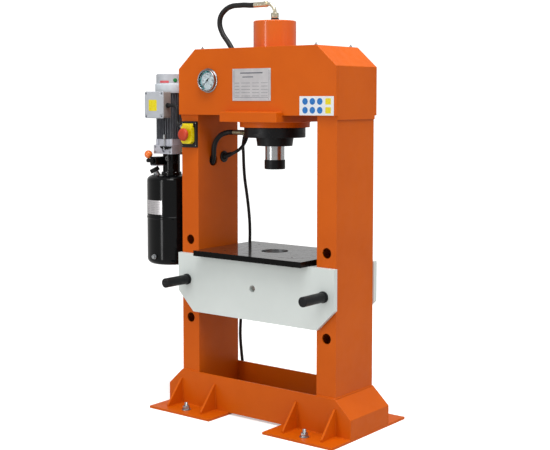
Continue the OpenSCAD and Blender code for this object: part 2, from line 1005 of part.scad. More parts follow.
// hub on the valve's spindle, with a short arm up to the ball knob
module valve_lever() {
    placed(orange)
        on_unit()
            translate([-66, spindle_y, spindle_z]) {
                bar_x(13, -9, 9.6);
                cylinder(r = 6, h = ball_up);
                translate([0, 0, ball_up])
                    sphere(r = 17);
            }
}

module motor_flange() {
    placed(silver)
        on_unit()
            difference() {
                union() {
                    ring_z(56, block2_z, motor_z);
                    for (a = [45 : 90 : 315])
                        rotate([0, 0, a])
                            translate([58, 0, block2_z])
                                cylinder(r = 9, h = motor_z - block2_z);
                }
                ring_z(30, block2_z - 1, motor_z - 8);
                ring_z(shaft_r + 6, motor_z - 9, motor_z + 1);
            }
}

module motor_housing() {
    placed(dark_grey)
        on_unit()
            difference() {
                translate([0, 0, motor_z])
                    linear_extrude(cover_z - motor_z)
                        union() {
                            circle(r = motor_d / 2 - 11);
                            for (i = [0 : fin_count - 1])
                                rotate(360 * i / fin_count)
                                    translate([motor_d / 2 - 12, -1.2])
                                        square([12, 2.4]);
                        }
                ring_z(motor_d / 2 - 17, motor_z + 8, cover_z - 8);
                ring_z(shaft_r + 0.05, motor_z - 1, cover_z + 1);
                // flat seat for the terminal box
                box([-56, -motor_d / 2 - 1, 1236], [56, -57, 1356]);
            }
}

module fan_cover() {
    placed(pale_grey)
        on_unit()
            difference() {
                union() {
                    ring_z(67, cover_z, 1387);
                    ring_z(64, 1387, cover_top_z - 3);
                    ring_z(61, cover_top_z - 3, cover_top_z);
                }
                ring_z(64, cover_z - 1, 1384);
                ring_z(61.5, 1383, cover_top_z - 5);
                for (i = [0 : 11])
                    rotate([0, 0, 30 * i])
                        box([18, -3, cover_top_z - 8], [52, 3, cover_top_z + 1]);
                // clear of the terminal box
                box([-60, -80, cover_z - 1], [60, -56.5, 1355]);
            }
}

module terminal_box() {
    placed(pale_grey)
        on_unit() {
            difference() {
                box([-56, -103, 1238], [54, -57, 1354]);
                box([-52, -99, 1242], [50, -61, 1350]);
                bar_x(8, 48, 60, -80, 1294);
            }
            difference() {
                box([-56, -110, 1238], [54, -103, 1354]);
                for (sx = [-50, 48])
                    for (sz = [1244, 1348])
                        bar_y(3, -111, -107, sx, sz);
            }
        }
}

module motor_rotor() {
    placed(silver)
        on_unit() {
            ring_z(shaft_r, gear_z - 14, cover_z + 46);
            ring_z(rotor_r, motor_z + 50, cover_z - 50, shaft_r - 1);
            // fan
            ring_z(16, cover_z + 12, cover_z + 30, shaft_r - 1);
            for (a = [0 : 45 : 315])
                rotate([0, 0, a])
                    box([14, -1.5, cover_z + 12], [54, 1.5, cover_z + 32]);
        }
}

gear_teeth = 10;
gear_mid = 2 * 10.6;

// a plain spur gear: round core with straight-sided teeth
module pump_gear(hole_r, start = 0) {
    linear_extrude(gear_h)
        difference() {
            union() {
                circle(r = 8.4);
                for (i = [0 : gear_teeth - 1])
                    rotate(start + 360 * i / gear_teeth)
                        polygon([[7, -1.8], [gear_r - 0.4, -0.75], [gear_r - 0.4, 0.75], [7, 1.8]]);
            }
            circle(r = hole_r);
        }
}

module drive_gear() {
    placed(silver)
        on_unit()
            translate([0, 0, gear_z])
                pump_gear(shaft_r + 0.01);
}

module driven_gear() {
    placed(silver)
        on_unit()
            translate([0, gear_mid, gear_z]) {
                pump_gear(4, 18);
                ring_z(5, -11, gear_h + 11);
            }
}

// cable from the terminal box to the switch, with a gland at each end
module control_cable() {
    placed(black) {
        swept_tube(cable_route, cable_d, 8, 3);
        bar_x(9, terminal_x, terminal_x + 22, -120, 1294);
        bar_x(5.5, -401, switch_x - switch_w / 2, -136, 1205);
    }
}

// ---- mains lead ----

// gland in the upright's wall, with a tapered strain relief that leans up and back
module lead_gland() {
    placed(black)
        translate(lead_hole) {
            bar_x(lead_hole_d / 2 - 0.1, -upright_wall, 0);
            bar_x(25, 0, 5);
            rotate([0, 71, 27])
                rotate_extrude()
                    polygon([[0, 0], [15, 0], [14, 12], [8.5, 40], [0, 40]]);
        }
}

module lead_tube() {
    placed(black) {
        swept_tube(lead_route, lead_d, 8, 2);
        swept_tube(tail_route, lead_d, 8, 2);
    }
}

module lead_coil() {
    placed(black)
        translate([coil_x, coil_y, 0])
            rotate_extrude()
                polygon([
                    [coil_r - 14, 4], [coil_r - 10, 0], [coil_r + 10, 0], [coil_r + 14, 4],
                    [coil_r + 14, 24], [coil_r + 10, 28], [coil_r - 10, 28], [coil_r - 14, 24]]);
}

module lead_plug() {
    placed(black)
        translate([plug_x, plug_y, plug_r])
            rotate([90, 0, 0]) {
                rotate_extrude()
                    polygon([
                        [0, 0], [9, 0], [14, 22], [20, 26], [20, 58], [plug_r, 62], [plug_r, 78],
                        [19, 80], [0, 80]]);
                for (a = [0 : 90 : 270])
                    rotate([0, 0, a])
                        translate([10, 0, 79])
                            cylinder(r = 2.5, h = 16);
            }
}

// ---- the part ----

upright_left();
upright_right();
head_front_plate();
head_back_plate();
head_top_plate();
head_side_plates();
mount_block();
base_front_plate();
base_back_plate();
base_end_plates();
foot_plates();
gussets();
anchor_bolts();
bolster_front_plate();
bolster_back_plate();
bolster_ribs();
table_plate();
cylinder_barrel();
cylinder_flange();
gland_ring();
gland_bolts();
rod_seals();
top_fitting();
top_hose();
ring_fitting();
ring_hose();
gauge_case();
gauge_dial();
name_plate();
sign_plate();
switch_base();
oil_tank();
tank_fittings();
unit_bracket();
valve_block();
pump_body();
lever_valve();
motor_flange();
motor_housing();
fan_cover();
terminal_box();
control_cable();
lead_gland();
lead_tube();
lead_coil();
lead_plug();
piston_rod();
piston();
ram_nose();
pin_left();
pin_right();
gauge_needle();
switch_cover();
stop_button();
start_button();
valve_lever();
filler_cap();
motor_rotor();
drive_gear();
driven_gear();
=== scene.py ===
import json
import math
import random

import bmesh
import bpy
from mathutils import Matrix, Vector

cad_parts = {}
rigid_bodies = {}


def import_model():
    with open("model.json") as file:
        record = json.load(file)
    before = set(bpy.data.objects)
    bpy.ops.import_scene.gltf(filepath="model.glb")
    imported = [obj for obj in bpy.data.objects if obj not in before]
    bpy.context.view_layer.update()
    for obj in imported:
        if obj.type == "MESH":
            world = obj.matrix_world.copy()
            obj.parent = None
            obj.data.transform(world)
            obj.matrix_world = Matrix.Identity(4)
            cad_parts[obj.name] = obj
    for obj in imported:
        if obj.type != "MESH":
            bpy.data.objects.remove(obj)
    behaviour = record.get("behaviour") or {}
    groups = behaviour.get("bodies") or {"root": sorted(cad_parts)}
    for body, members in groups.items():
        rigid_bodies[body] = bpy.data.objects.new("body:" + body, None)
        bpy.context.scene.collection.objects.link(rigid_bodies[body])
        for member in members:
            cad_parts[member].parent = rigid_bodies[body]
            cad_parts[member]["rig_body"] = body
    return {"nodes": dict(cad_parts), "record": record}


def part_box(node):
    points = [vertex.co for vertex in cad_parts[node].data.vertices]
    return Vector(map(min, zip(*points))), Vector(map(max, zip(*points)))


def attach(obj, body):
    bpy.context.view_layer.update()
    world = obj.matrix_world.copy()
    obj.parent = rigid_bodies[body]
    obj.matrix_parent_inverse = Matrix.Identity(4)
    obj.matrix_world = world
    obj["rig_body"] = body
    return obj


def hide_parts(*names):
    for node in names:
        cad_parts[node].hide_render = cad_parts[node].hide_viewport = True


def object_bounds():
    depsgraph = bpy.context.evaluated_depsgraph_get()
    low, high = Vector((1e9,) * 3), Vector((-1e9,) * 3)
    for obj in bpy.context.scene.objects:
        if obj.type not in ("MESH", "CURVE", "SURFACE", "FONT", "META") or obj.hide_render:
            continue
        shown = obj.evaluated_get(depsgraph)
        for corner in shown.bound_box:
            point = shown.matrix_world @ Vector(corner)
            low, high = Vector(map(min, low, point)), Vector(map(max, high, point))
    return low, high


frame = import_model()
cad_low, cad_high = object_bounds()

MM = 0.001
scene = bpy.context.scene
chance = random.Random(7)

# the vertical axis of the ram, which every place below is measured from
rod_low, rod_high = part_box("piston_rod")
ram_x, ram_y = (rod_low.x + rod_high.x) / 2, (rod_low.y + rod_high.y) / 2


def at(x, y, z):
    """A point given in millimetres from the ram's axis and the floor."""
    return Vector((ram_x + x * MM, ram_y + y * MM, z * MM))


def span(node):
    """Lowest and highest corners of a CAD node, in millimetres from the ram's axis and the floor."""
    axis = Vector((ram_x, ram_y, 0))
    low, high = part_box(node)
    return (low - axis) / MM, (high - axis) / MM


# ------------ camera, lights, floor

# fitted to the frame's corners in the photograph
CAMERA = at(2773.7, -3573.5, 1311.5)
AZIMUTH, PITCH = math.radians(37.81), math.radians(-4.5)
FOCAL, SENSOR, SHIFT = 71.61, 36, -0.0684
FAR_CLIP = 60

# the room's light on the object, and the white that the camera sees behind it
FILL, BACKDROP = 0.52, 1.2
SUN_STRENGTH, SUN_WIDTH, SUN_WAY = 1.6, math.radians(50), Vector((-0.40, 0.24, -0.88))
MIDDLE = at(0, 0, 850)
# each softbox's place, what it points at, its width and height in metres, and its watts
SOFTBOXES = {
    "top_softbox": (at(560, -350, 3300), at(360, -60, 1500), (1.6, 1.6), 42),
    "strip_softbox": (at(-840, -3700, 1500), MIDDLE, (0.55, 3.0), 34),
    "side_softbox": (at(3900, 200, 1900), MIDDLE, (2.2, 2.6), 4),
}
FLOOR_HALF, FLOOR_GREY = 14, "BAB8B6"


def add_object(name, data, place=(0, 0, 0), way=None):
    """Puts data into the scene as an object; way is where a camera or a lamp points."""
    made = bpy.data.objects.new(name, data)
    made.location = place
    if way is not None:
        made.rotation_euler = way.to_track_quat("-Z", "Y").to_euler()
    scene.collection.objects.link(made)
    return made


def make_camera():
    data = bpy.data.cameras.new("camera")
    data.sensor_width, data.lens, data.shift_y, data.clip_end = SENSOR, FOCAL, SHIFT, FAR_CLIP
    ahead = Vector((-math.sin(AZIMUTH) * math.cos(PITCH),
                    math.cos(AZIMUTH) * math.cos(PITCH), math.sin(PITCH)))
    scene.camera = add_object("camera", data, CAMERA, ahead)


def make_studio():
    """Soft white room: the camera sees pure white where the object only gets gentle fill."""
    world = bpy.data.worlds.new("studio")
    world.use_nodes = True
    nodes, links = world.node_tree.nodes, world.node_tree.links
    background = nodes["Background"]
    background.inputs["Color"].default_value = (1, 1, 1, 1)
    strength = nodes.new("ShaderNodeMapRange")
    strength.inputs["To Min"].default_value = FILL
    strength.inputs["To Max"].default_value = BACKDROP
    seen = nodes.new("ShaderNodeLightPath").outputs["Is Camera Ray"]
    links.new(seen, strength.inputs["Value"])
    links.new(strength.outputs["Result"], background.inputs["Strength"])
    scene.world = world
    sun = bpy.data.lights.new("overhead", "SUN")
    sun.energy, sun.angle = SUN_STRENGTH, SUN_WIDTH
    add_object("overhead", sun, way=SUN_WAY)
    for name, (place, target, size, watts) in SOFTBOXES.items():
        box = bpy.data.lights.new(name, "AREA")
        box.shape = "RECTANGLE"
        box.size, box.size_y = size
        box.energy = watts
        add_object(name, box, place, target - place)
    scene.view_settings.view_transform = "Standard"


def make_floor():
    bm = bmesh.new()
    corners = ((-1, -1), (1, -1), (1, 1), (-1, 1))
    bm.faces.new([bm.verts.new((x * FLOOR_HALF, y * FLOOR_HALF, 0)) for x, y in corners])
    mesh = bpy.data.meshes.new("floor")
    bm.to_mesh(mesh)
    bm.free()
    mesh.materials.append(floor_material())
    add_object("floor", mesh)


# ------------ materials

def rgb(code):
    """Linear colour of a hex code such as CD5F20."""
    parts = [int(code[i:i + 2], 16) / 255 for i in (0, 2, 4)]
    return tuple(p / 12.92 if p <= 0.04045 else ((p + 0.055) / 1.055) ** 2.4 for p in parts) + (1,)


class Shader:
    """One material, built from nodes."""

    def __init__(self, name):
        self.material = bpy.data.materials.new(name)
        self.material.use_nodes = True
        self.tree = self.material.node_tree
        self.main = self.tree.nodes["Principled BSDF"]
        self.place = self.node("ShaderNodeTexCoord")["Object"]

    def feed(self, sockets, values):
        """Links a node's inputs to other nodes' outputs, or sets them to plain values."""
        for socket, value in values.items():
            if isinstance(value, bpy.types.NodeSocket):
                self.tree.links.new(value, sockets[socket])
            else:
                sockets[socket].default_value = value

    def node(self, kind, inputs=None, **settings):
        """Adds a node and gives its outputs."""
        made = self.tree.nodes.new(kind)
        for key, value in settings.items():
            setattr(made, key, value)
        self.feed(made.inputs, inputs or {})
        return made.outputs

    def set(self, **values):
        """Feeds the sockets of the surface itself."""
        self.feed(self.main.inputs, {socket.replace("_", " "): value for socket, value in values.items()})

    def noise(self, scale, detail=3.0, stretch=(1, 1, 1)):
        place = self.node("ShaderNodeMapping", {"Vector": self.place, "Scale": stretch})["Vector"]
        return self.node("ShaderNodeTexNoise", {"Vector": place, "Scale": scale, "Detail": detail,
                                                "Roughness": 0.55})["Fac"]

    def remap(self, value, low, high, start=0.35, end=0.65):
        return self.node("ShaderNodeMapRange", {"Value": value, "From Min": start, "From Max": end,
                                                "To Min": low, "To Max": high})["Result"]

    def maths(self, operation, a, b):
        return self.node("ShaderNodeMath", {0: a, 1: b}, operation=operation, use_clamp=True)["Value"]

    def mix(self, factor, a, b):
        return self.node("ShaderNodeMix", {"Factor": factor, "A": a, "B": b}, data_type="RGBA")["Result"]

    def face_normal(self):
        return self.node("ShaderNodeNewGeometry")["Normal"]

    def edges(self, radius):
        """1 at sharp edges and 0 on open faces."""
        softened = self.node("ShaderNodeBevel", {"Radius": radius}, samples=4)["Normal"]
        dot = self.node("ShaderNodeVectorMath", {0: softened, 1: self.face_normal()}, operation="DOT_PRODUCT")
        return self.remap(dot["Value"], 1.0, 0.0, 0.80, 0.99)

    def bump(self, height, depth, under=None):
        below = {} if under is None else {"Normal": under}
        return self.node("ShaderNodeBump", {"Height": height, "Distance": depth, **below})["Normal"]


# the colour under a scratch, and the near-black painted shade on faces that don't look up
BARE_METAL, PAINTED_SIDE_SHADE = "B8B6B0", "060606"


def surface(name, colour, shade, rough, mottle=5, grain=(400, 0.00003), stretch=(1, 1, 1),
            worn=None, wear=0.5, edge=0.002, scratches=0.0, dents=0.0, top_coat=0.0, **sockets):
    """A finish with mottled colour, uneven gloss, fine relief, scratches and lighter edges: rubbed paint,
    which on the motor's fins is also a painted highlight.

    grain is the scale and depth of the relief, and the top coat weight is that of an oil film that lies
    only on faces that look up; where it is given, the faces that don't look up get a near-black painted
    shade."""
    s = Shader(name)
    base = s.mix(s.remap(s.noise(mottle, 4), 0, 1), rgb(colour), rgb(shade))
    gloss = s.remap(s.noise(mottle * 6, 5), *rough)
    if scratches:
        lines = s.remap(s.noise(9, 2, (1, 26, 26)), 0, 1, 0.63, 0.66)
        lines = s.maths("MULTIPLY", lines, s.remap(s.noise(14, 1), 0, 1, 0.45, 0.6))
        lines = s.maths("MULTIPLY", lines, scratches)
        base = s.mix(lines, base, rgb(BARE_METAL))
        gloss = s.maths("ADD", gloss, lines)
    if worn:
        # lighter edges: rubbed paint, and on the motor grey also a painted highlight along the fin tips
        rub = s.maths("MULTIPLY", s.edges(edge), s.remap(s.noise(55, 5), 0, wear, 0.4, 0.62))
        base = s.mix(rub, base, rgb(worn))
        gloss = s.maths("ADD", gloss, s.maths("MULTIPLY", rub, 0.15))
    normal = s.bump(s.noise(grain[0], 3, stretch), grain[1])
    if dents:
        normal = s.bump(s.noise(12, 1), dents, normal)
    if top_coat:
        up = s.node("ShaderNodeSeparateXYZ", {"Vector": s.face_normal()})["Z"]
        upward = s.remap(up, 0, 1)
        # faces that don't look up are painted a near-black shade
        base = s.mix(upward, rgb(PAINTED_SIDE_SHADE), base)
        s.set(Coat_Weight=s.maths("MULTIPLY", upward, top_coat))
    s.set(Base_Color=base, Roughness=gloss, Normal=normal, **sockets)
    return s.material


def paint(colour, shade, rough, worn, **more):
    """Settings of a sprayed paint: orange peel, a clear gloss and lighter edges where it is thin; on the
    motor's fins these edges are also a painted highlight.
    """
    return {"colour": colour, "shade": shade, "rough": rough, "worn": worn, "mottle": 3.5,
            "grain": (260, 0.00004), "dents": 0.0006, "Coat_Weight": 0.25, "Coat_Roughness": 0.12,
            "Specular_IOR_Level": 0.5, **more}


def metal(colour, shade, rough, **more):
    return {"colour": colour, "shade": shade, "rough": rough, "mottle": 30, "grain": (900, 0.000006),
            "Metallic": 1.0, **more}


def plastic(colour, shade, rough, **more):
    return {"colour": colour, "shade": shade, "rough": rough, "mottle": 18, "grain": (1400, 0.00002),
            "Specular_IOR_Level": 0.5, **more}


def floor_material():
    """White to the camera, and a grey that throws less light back on the object."""
    s = Shader("floor_pale")
    tone = s.mix(s.remap(s.noise(0.8, 3), 0, 1), rgb("FBFBFA"), rgb("F7F7F6"))
    seen = s.node("ShaderNodeLightPath")["Is Camera Ray"]
    s.set(Base_Color=s.mix(seen, rgb(FLOOR_GREY), tone), Roughness=s.remap(s.noise(3, 4), 0.55, 0.7),
          Normal=s.bump(s.noise(90, 3), 0.0002), Emission_Color=(1, 1, 1, 1),
          Emission_Strength=s.remap(seen, 0.1, 0.32, 0, 1))
    return s.material


def glass_material():
    s = Shader("gauge_glass")
    s.set(Base_Color=s.mix(s.remap(s.noise(40), 0, 1), rgb("FAFDFD"), rgb("F4F9F9")),
          Roughness=s.remap(s.noise(160, 4), 0.01, 0.05), Transmission_Weight=1.0, IOR=1.2)
    return s.material


FINISHES = {
    "orange_paint": paint("CB5B04", "C35503", (0.36, 0.5), "E0813C", wear=0.35, Specular_IOR_Level=0.14,
        Coat_Weight=0.04),
    "cylinder_paint": paint("CB5B06", "C35505", (0.3, 0.4), "E0813C", wear=0.35, Specular_IOR_Level=0.2,
        Coat_Weight=0.55, Coat_Roughness=0.07),
    "grey_paint": paint("D5DCD9", "CED5D2", (0.34, 0.48), "E1E5E3", wear=0.5, Specular_IOR_Level=0.3),
    "black_steel": metal("1B1C1E", "151618", (0.34, 0.5), worn="55585B", wear=0.5, Metallic=0.4,
        Specular_IOR_Level=0.3, scratches=0.08, mottle=12),
    # the table's sides are a near-black painted shade, and only its top is oiled
    "table_steel": metal("241E1A", "191512", (0.2, 0.3), worn="55524E", wear=0.5, Metallic=0.0,
        Specular_IOR_Level=0.12, top_coat=0.95, Coat_Roughness=0.05, scratches=0.08, mottle=6),
    "black_paint": paint("07080A", "050607", (0.1, 0.18), "2A2C30", wear=0.4, Coat_Weight=0.1,
        Coat_Roughness=0.05, Specular_IOR_Level=0.16),
    "zinc_steel": metal("B9BCBE", "A5A9AD", (0.28, 0.42), worn="DADCDD", scratches=0.15),
    "chrome": metal("C2C3C4", "B4B6B8", (0.2, 0.28), stretch=(1, 1, 8), mottle=8),
    # a darker copy of the chrome: painted shade on the gauge's bezel
    "bezel_shaded_chrome": metal("A2A5A8", "96999C", (0.12, 0.2), mottle=8),
    "bronze": metal("A8814A", "94703F", (0.25, 0.4)),
    "brass_fitting": metal("C9B678", "B6A163", (0.22, 0.36), worn="E2D8AC"),
    "piston_steel": metal("8A8D90", "7A7D81", (0.25, 0.4), stretch=(1, 1, 12)),
    "cast_aluminium": metal("C8CAD4", "BCBEC8", (0.34, 0.48), worn="DADCDF", grain=(700, 0.00002),
        stretch=(1, 5, 1), Metallic=0.2),
    "plate_aluminium": metal("D4D1D2", "C9C6C8", (0.3, 0.4), grain=(300, 0.00001), stretch=(0.05, 1, 6),
        Metallic=0.85),
    # the motor's lighter fin tips are rubbed paint and also a painted highlight
    "motor_grey": paint("5C5F66", "52555C", (0.42, 0.56), "A3A7AF", grain=(600, 0.00005), wear=1.0,
        edge=0.0012, Coat_Weight=0.1),
    "hose_rubber": plastic("141415", "1A1A1B", (0.42, 0.58), grain=(1800, 0.00004), Specular_IOR_Level=0.3),
    "black_plastic": plastic("0F1011", "141516", (0.38, 0.52), worn="323437", wear=0.4,
        Specular_IOR_Level=0.3),
    "pale_plastic": plastic("B4B8BE", "ABAFB5", (0.36, 0.5), worn="D5D8DB", wear=0.5, grain=(900, 0.00003)),
    # the terminal box's sides: painted shade with a painted orange reflection, darker and warmer than the lid
    "box_side_shade": plastic("8E8783", "857E7A", (0.3, 0.42), worn="D0CFCC", wear=0.7, grain=(900, 0.00003)),
    "band_pale": plastic("CBD3DA", "C2CAD1", (0.36, 0.5), worn="DDDFE0", wear=0.4, grain=(900, 0.00003)),
    "label_pale_red": plastic("D0545C", "C64C54", (0.3, 0.42)),
    "yellow_plastic": plastic("E2CF08", "D8C306", (0.22, 0.34), worn="F0E45A"),
    "red_plastic": plastic("BE3D22", "B4381F", (0.34, 0.46), worn="D4694C", Specular_IOR_Level=0.25),
    "green_plastic": plastic("1E7F46", "1A733F", (0.25, 0.38), worn="4FA272"),
    "knob_orange": plastic("F07420", "E66A1B", (0.14, 0.24), worn="EA8350", Coat_Weight=0.4,
        Coat_Roughness=0.05),
    "dial_white": plastic("E6EFF4", "DEE9F0", (0.42, 0.55)),
    "dial_teal": plastic("2C9FA3", "279498", (0.42, 0.55)),
    "zinc_olive": metal("A6A68C", "96967C", (0.28, 0.42), worn="CFCFBB"),
    "zinc_pale": metal("DDD5BE", "CFC6AC", (0.24, 0.38), worn="F0EAD8"),
    "needle_black": plastic("1A1B1E", "222327", (0.3, 0.42)),
    "sign_white": plastic("DCE0E3", "D5D9DD", (0.24, 0.36), worn="F6F7F7"),
    "sign_blue": plastic("1470BC", "1166AE", (0.24, 0.36)),
}
FINISH = {name: surface(name, **settings) for name, settings in FINISHES.items()}
FINISH["gauge_glass"] = glass_material()
# each CAD node's slot in the record, and the nodes whose finish differs from their slot's
SLOT = {part["node"]: part["material_slot"] for part in frame["record"]["subparts"]}
SPECIAL = {"cylinder_barrel": "cylinder_paint", "table_plate": "table_steel"}


def finish_nodes():
    """Gives every CAD node its material."""
    for name, node in frame["nodes"].items():
        for slot in node.material_slots:
            slot.material = FINISH[SPECIAL.get(name, SLOT[name])]


# ------------ mesh helpers

# turns a shape's own Z to the front or to the right
FRONT = Matrix.Rotation(math.radians(90), 4, "X")
RIGHT = Matrix.Rotation(math.radians(90), 4, "Y")
# points closer than this in metres are one, and faces within this angle in degrees are one face
SAME_POINT, SAME_PLANE = 0.00001, 0.2
SHARP_ANGLE = 30


def spin(angle):
    return Matrix.Rotation(angle, 4, "Z")


def put(x, y, z, turn=Matrix()):
    """A place in millimetres from the ram's axis, and the way that a shape's own Z points."""
    return Matrix.Translation(at(x, y, z)) @ turn @ Matrix.Scale(MM, 4)


def front_of(node):
    """The middle of a node's back, turned to the front, with its half width and half height."""
    low, high = span(node)
    x, z = (low.x + high.x) / 2, (low.z + high.z) / 2
    return put(x, high.y, z, FRONT), (high.x - low.x) / 2, (high.z - low.z) / 2


def skin(bm, rings, closed=False):
    """Adds the faces between rings of points, where a ring of one point is a tip."""
    pairs = list(zip(rings, rings[1:]))
    if closed:
        pairs.append((rings[-1], rings[0]))
    for lower, upper in pairs:
        count = max(len(lower), len(upper))
        for k in range(count):
            n = (k + 1) % count
            corners = [lower[k % len(lower)], lower[n % len(lower)],
                       upper[n % len(upper)], upper[k % len(upper)]]
            bm.faces.new(list(dict.fromkeys(corners)))


def set_shading(mesh, angle):
    """Smooth shading with sharp edges where faces meet at more than an angle."""
    mesh.polygons.foreach_set("use_smooth", [True] * len(mesh.polygons))
    mesh.set_sharp_from_angle(angle=math.radians(angle))


def piece(name, bm, slot, body="frame", stands_for=(), bevel=0.0, segments=2, smooth=35, finish=None):
    """Turns a bmesh into a named piece that rides on a body."""
    bmesh.ops.recalc_face_normals(bm, faces=bm.faces)
    mesh = bpy.data.meshes.new(name)
    bm.to_mesh(mesh)
    bm.free()
    set_shading(mesh, smooth)
    made = add_object(name, mesh)
    mesh.materials.append(FINISH[finish or slot])
    if bevel:
        round_edges(made, bevel, segments)
    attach(made, body)
    if stands_for:
        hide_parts(*stands_for)
    return made


def round_edges(made, width, segments=2, angle=30):
    """Rounds the edges that are sharper than an angle; width is in millimetres."""
    bevel = made.modifiers.new("rounded_edges", "BEVEL")
    bevel.width = width * MM
    bevel.segments = segments
    bevel.limit_method = "ANGLE"
    bevel.angle_limit = math.radians(angle)
    bevel.harden_normals = True


def refine(node, width):
    """A copy of a CAD node with its flat faces merged and its sharp edges rounded."""
    source = frame["nodes"][node]
    bm = bmesh.new()
    bm.from_mesh(source.data)
    bmesh.ops.remove_doubles(bm, verts=bm.verts, dist=SAME_POINT)
    bmesh.ops.dissolve_limit(bm, angle_limit=math.radians(SAME_PLANE), verts=bm.verts, edges=bm.edges)
    mesh = bpy.data.meshes.new(node + "_shape")
    bm.to_mesh(mesh)
    bm.free()
    for extra in ("custom_normal", "sharp_face", "sharp_edge"):
        if extra in mesh.attributes:
            mesh.attributes.remove(mesh.attributes[extra])
    mesh.polygons.foreach_set("material_index", [0] * len(mesh.polygons))
    set_shading(mesh, SHARP_ANGLE)
    made = add_object(node + "_shape", mesh)
    mesh.materials.clear()
    mesh.materials.append(FINISH[SPECIAL.get(node, SLOT[node])])
    round_edges(made, width, angle=SHARP_ANGLE)
    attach(made, source["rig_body"])
    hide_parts(node)


def angles(count):
    """Directions spread evenly over a whole turn."""
    return [2 * math.pi * k / count for k in range(count)]


def polar(radius, angle):
    return radius * math.cos(angle), radius * math.sin(angle)


def ring(bm, radius, height, where, sides):
    return [bm.verts.new(where @ Vector((*polar(radius, a), height))) for a in angles(sides)]


def lathe(bm, profile, where, sides=64):
    """Adds a turned shape: profile is (radius, height) pairs, and a radius of 0 closes an end."""
    rings = [ring(bm, radius, height, where, sides if radius else 1) for radius, height in profile]
    skin(bm, rings, closed=profile[0][0] > 0 and profile[-1][0] > 0)


def rod(bm, radius, low, high, where, sides, soft=0.0):
    """Adds a round bar between two heights, with its rims rounded by soft."""
    profile = [(0, low), (radius, low), (radius, high), (0, high)]
    lathe(bm, rounded(profile, soft) if soft else profile, where, sides)


def rounded(points, radius, steps=3, closed=False):
    """The same line of points with each corner turned into a small curve."""
    count = len(points)
    out = []
    for i, point in enumerate(points):
        if not closed and i in (0, count - 1):
            out.append(tuple(point))
            continue
        here, before, after = Vector(point), Vector(points[i - 1]), Vector(points[(i + 1) % count])
        start = here + (before - here).normalized() * min(radius, 0.45 * (before - here).length)
        end = here + (after - here).normalized() * min(radius, 0.45 * (after - here).length)
        for k in range(steps + 1):
            t = k / steps
            out.append(tuple(start * (1 - t) ** 2 + here * 2 * t * (1 - t) + end * t * t))
    return out


def prism(bm, outline, low, high, where):
    """Adds an outline drawn in a shape's own XY plane, between two heights along its Z."""
    ends = [[bm.verts.new(where @ Vector((x, y, height))) for x, y in outline] for height in (low, high)]
    for end in ends:
        bm.faces.new(end)
    skin(bm, ends)


def rectangle(half_w, half_h):
    return [(-half_w, -half_h), (half_w, -half_h), (half_w, half_h), (-half_w, half_h)]


def hex_nut(bm, across, low, high, hole, where):
    """Adds a hexagon nut with chamfered corners; hole is the radius of its bore."""
    sides, chamfer = 48, 0.14 * (high - low)
    inner, outer = across / 2, across / math.sqrt(3)
    rings = []
    for height, limit in ((low, inner), (low + chamfer, outer), (high - chamfer, outer), (high, inner)):
        points = []
        for a in angles(sides):
            off = (a + math.pi / 6) % (math.pi / 3) - math.pi / 6
            reach = min(inner / math.cos(off), limit)
            points.append(bm.verts.new(where @ Vector((*polar(reach, a), height))))
        rings.append(points)
    rings += [ring(bm, hole, height, where, sides) for height in (high, low)]
    skin(bm, rings, closed=True)


def smooth_path(route, steps):
    """Points in the row frame on a smooth curve through a route given in metres from the ram's axis."""
    line = [at(x / MM, y / MM, z / MM) for x, y, z in route]
    out = []
    for i in range(len(line) - 1):
        a, b, c, d = line[max(i - 1, 0)], line[i], line[i + 1], line[min(i + 2, len(line) - 1)]
        for k in range(steps):
            t = k / steps
            out.append(0.5 * (2 * b + (c - a) * t + (2 * a - 5 * b + 4 * c - d) * t * t
                              + (3 * b - a - 3 * c + d) * t ** 3))
    return out + [line[-1]]


def sweep(bm, path, radius, sides=12, loop=False):
    """Adds a round bar along a path; radius is a number or a list with one for each point."""
    count = len(path)
    radii = radius if isinstance(radius, list) else [radius] * count
    side, rings = None, []
    for i, point in enumerate(path):
        before = path[i - 1] if i or loop else point
        after = path[(i + 1) % count] if i < count - 1 or loop else point
        along = (after - before).normalized()
        if side is None:
            side = along.orthogonal()
        side = (side - along * side.dot(along)).normalized()
        other = along.cross(side)
        rings.append([bm.verts.new(point + radii[i] * (math.cos(a) * side + math.sin(a) * other))
                      for a in angles(sides)])
    if not loop:
        bm.faces.new(rings[0])
        bm.faces.new(rings[-1])
    skin(bm, rings, closed=loop)


def curved_patch(bm, radius, start, end, low, high, thick, across=24):
    """Adds a thin panel that lies on the power unit between two angles and two heights."""
    grid = []
    for reach in (radius, radius + thick):
        for height in (low, high):
            turns = [math.radians(start + (end - start) * k / across) for k in range(across + 1)]
            grid.append([bm.verts.new(at(UNIT_X + reach * math.cos(a), UNIT_Y + reach * math.sin(a), height))
                         for a in turns])
    for a, b in ((0, 1), (2, 3), (0, 2), (1, 3)):
        for k in range(across):
            bm.faces.new([grid[a][k], grid[a][k + 1], grid[b][k + 1], grid[b][k]])
    for k in (0, across):
        bm.faces.new([grid[0][k], grid[1][k], grid[3][k], grid[2][k]])


# ------------ mains lead

LEAD_D = 0.014
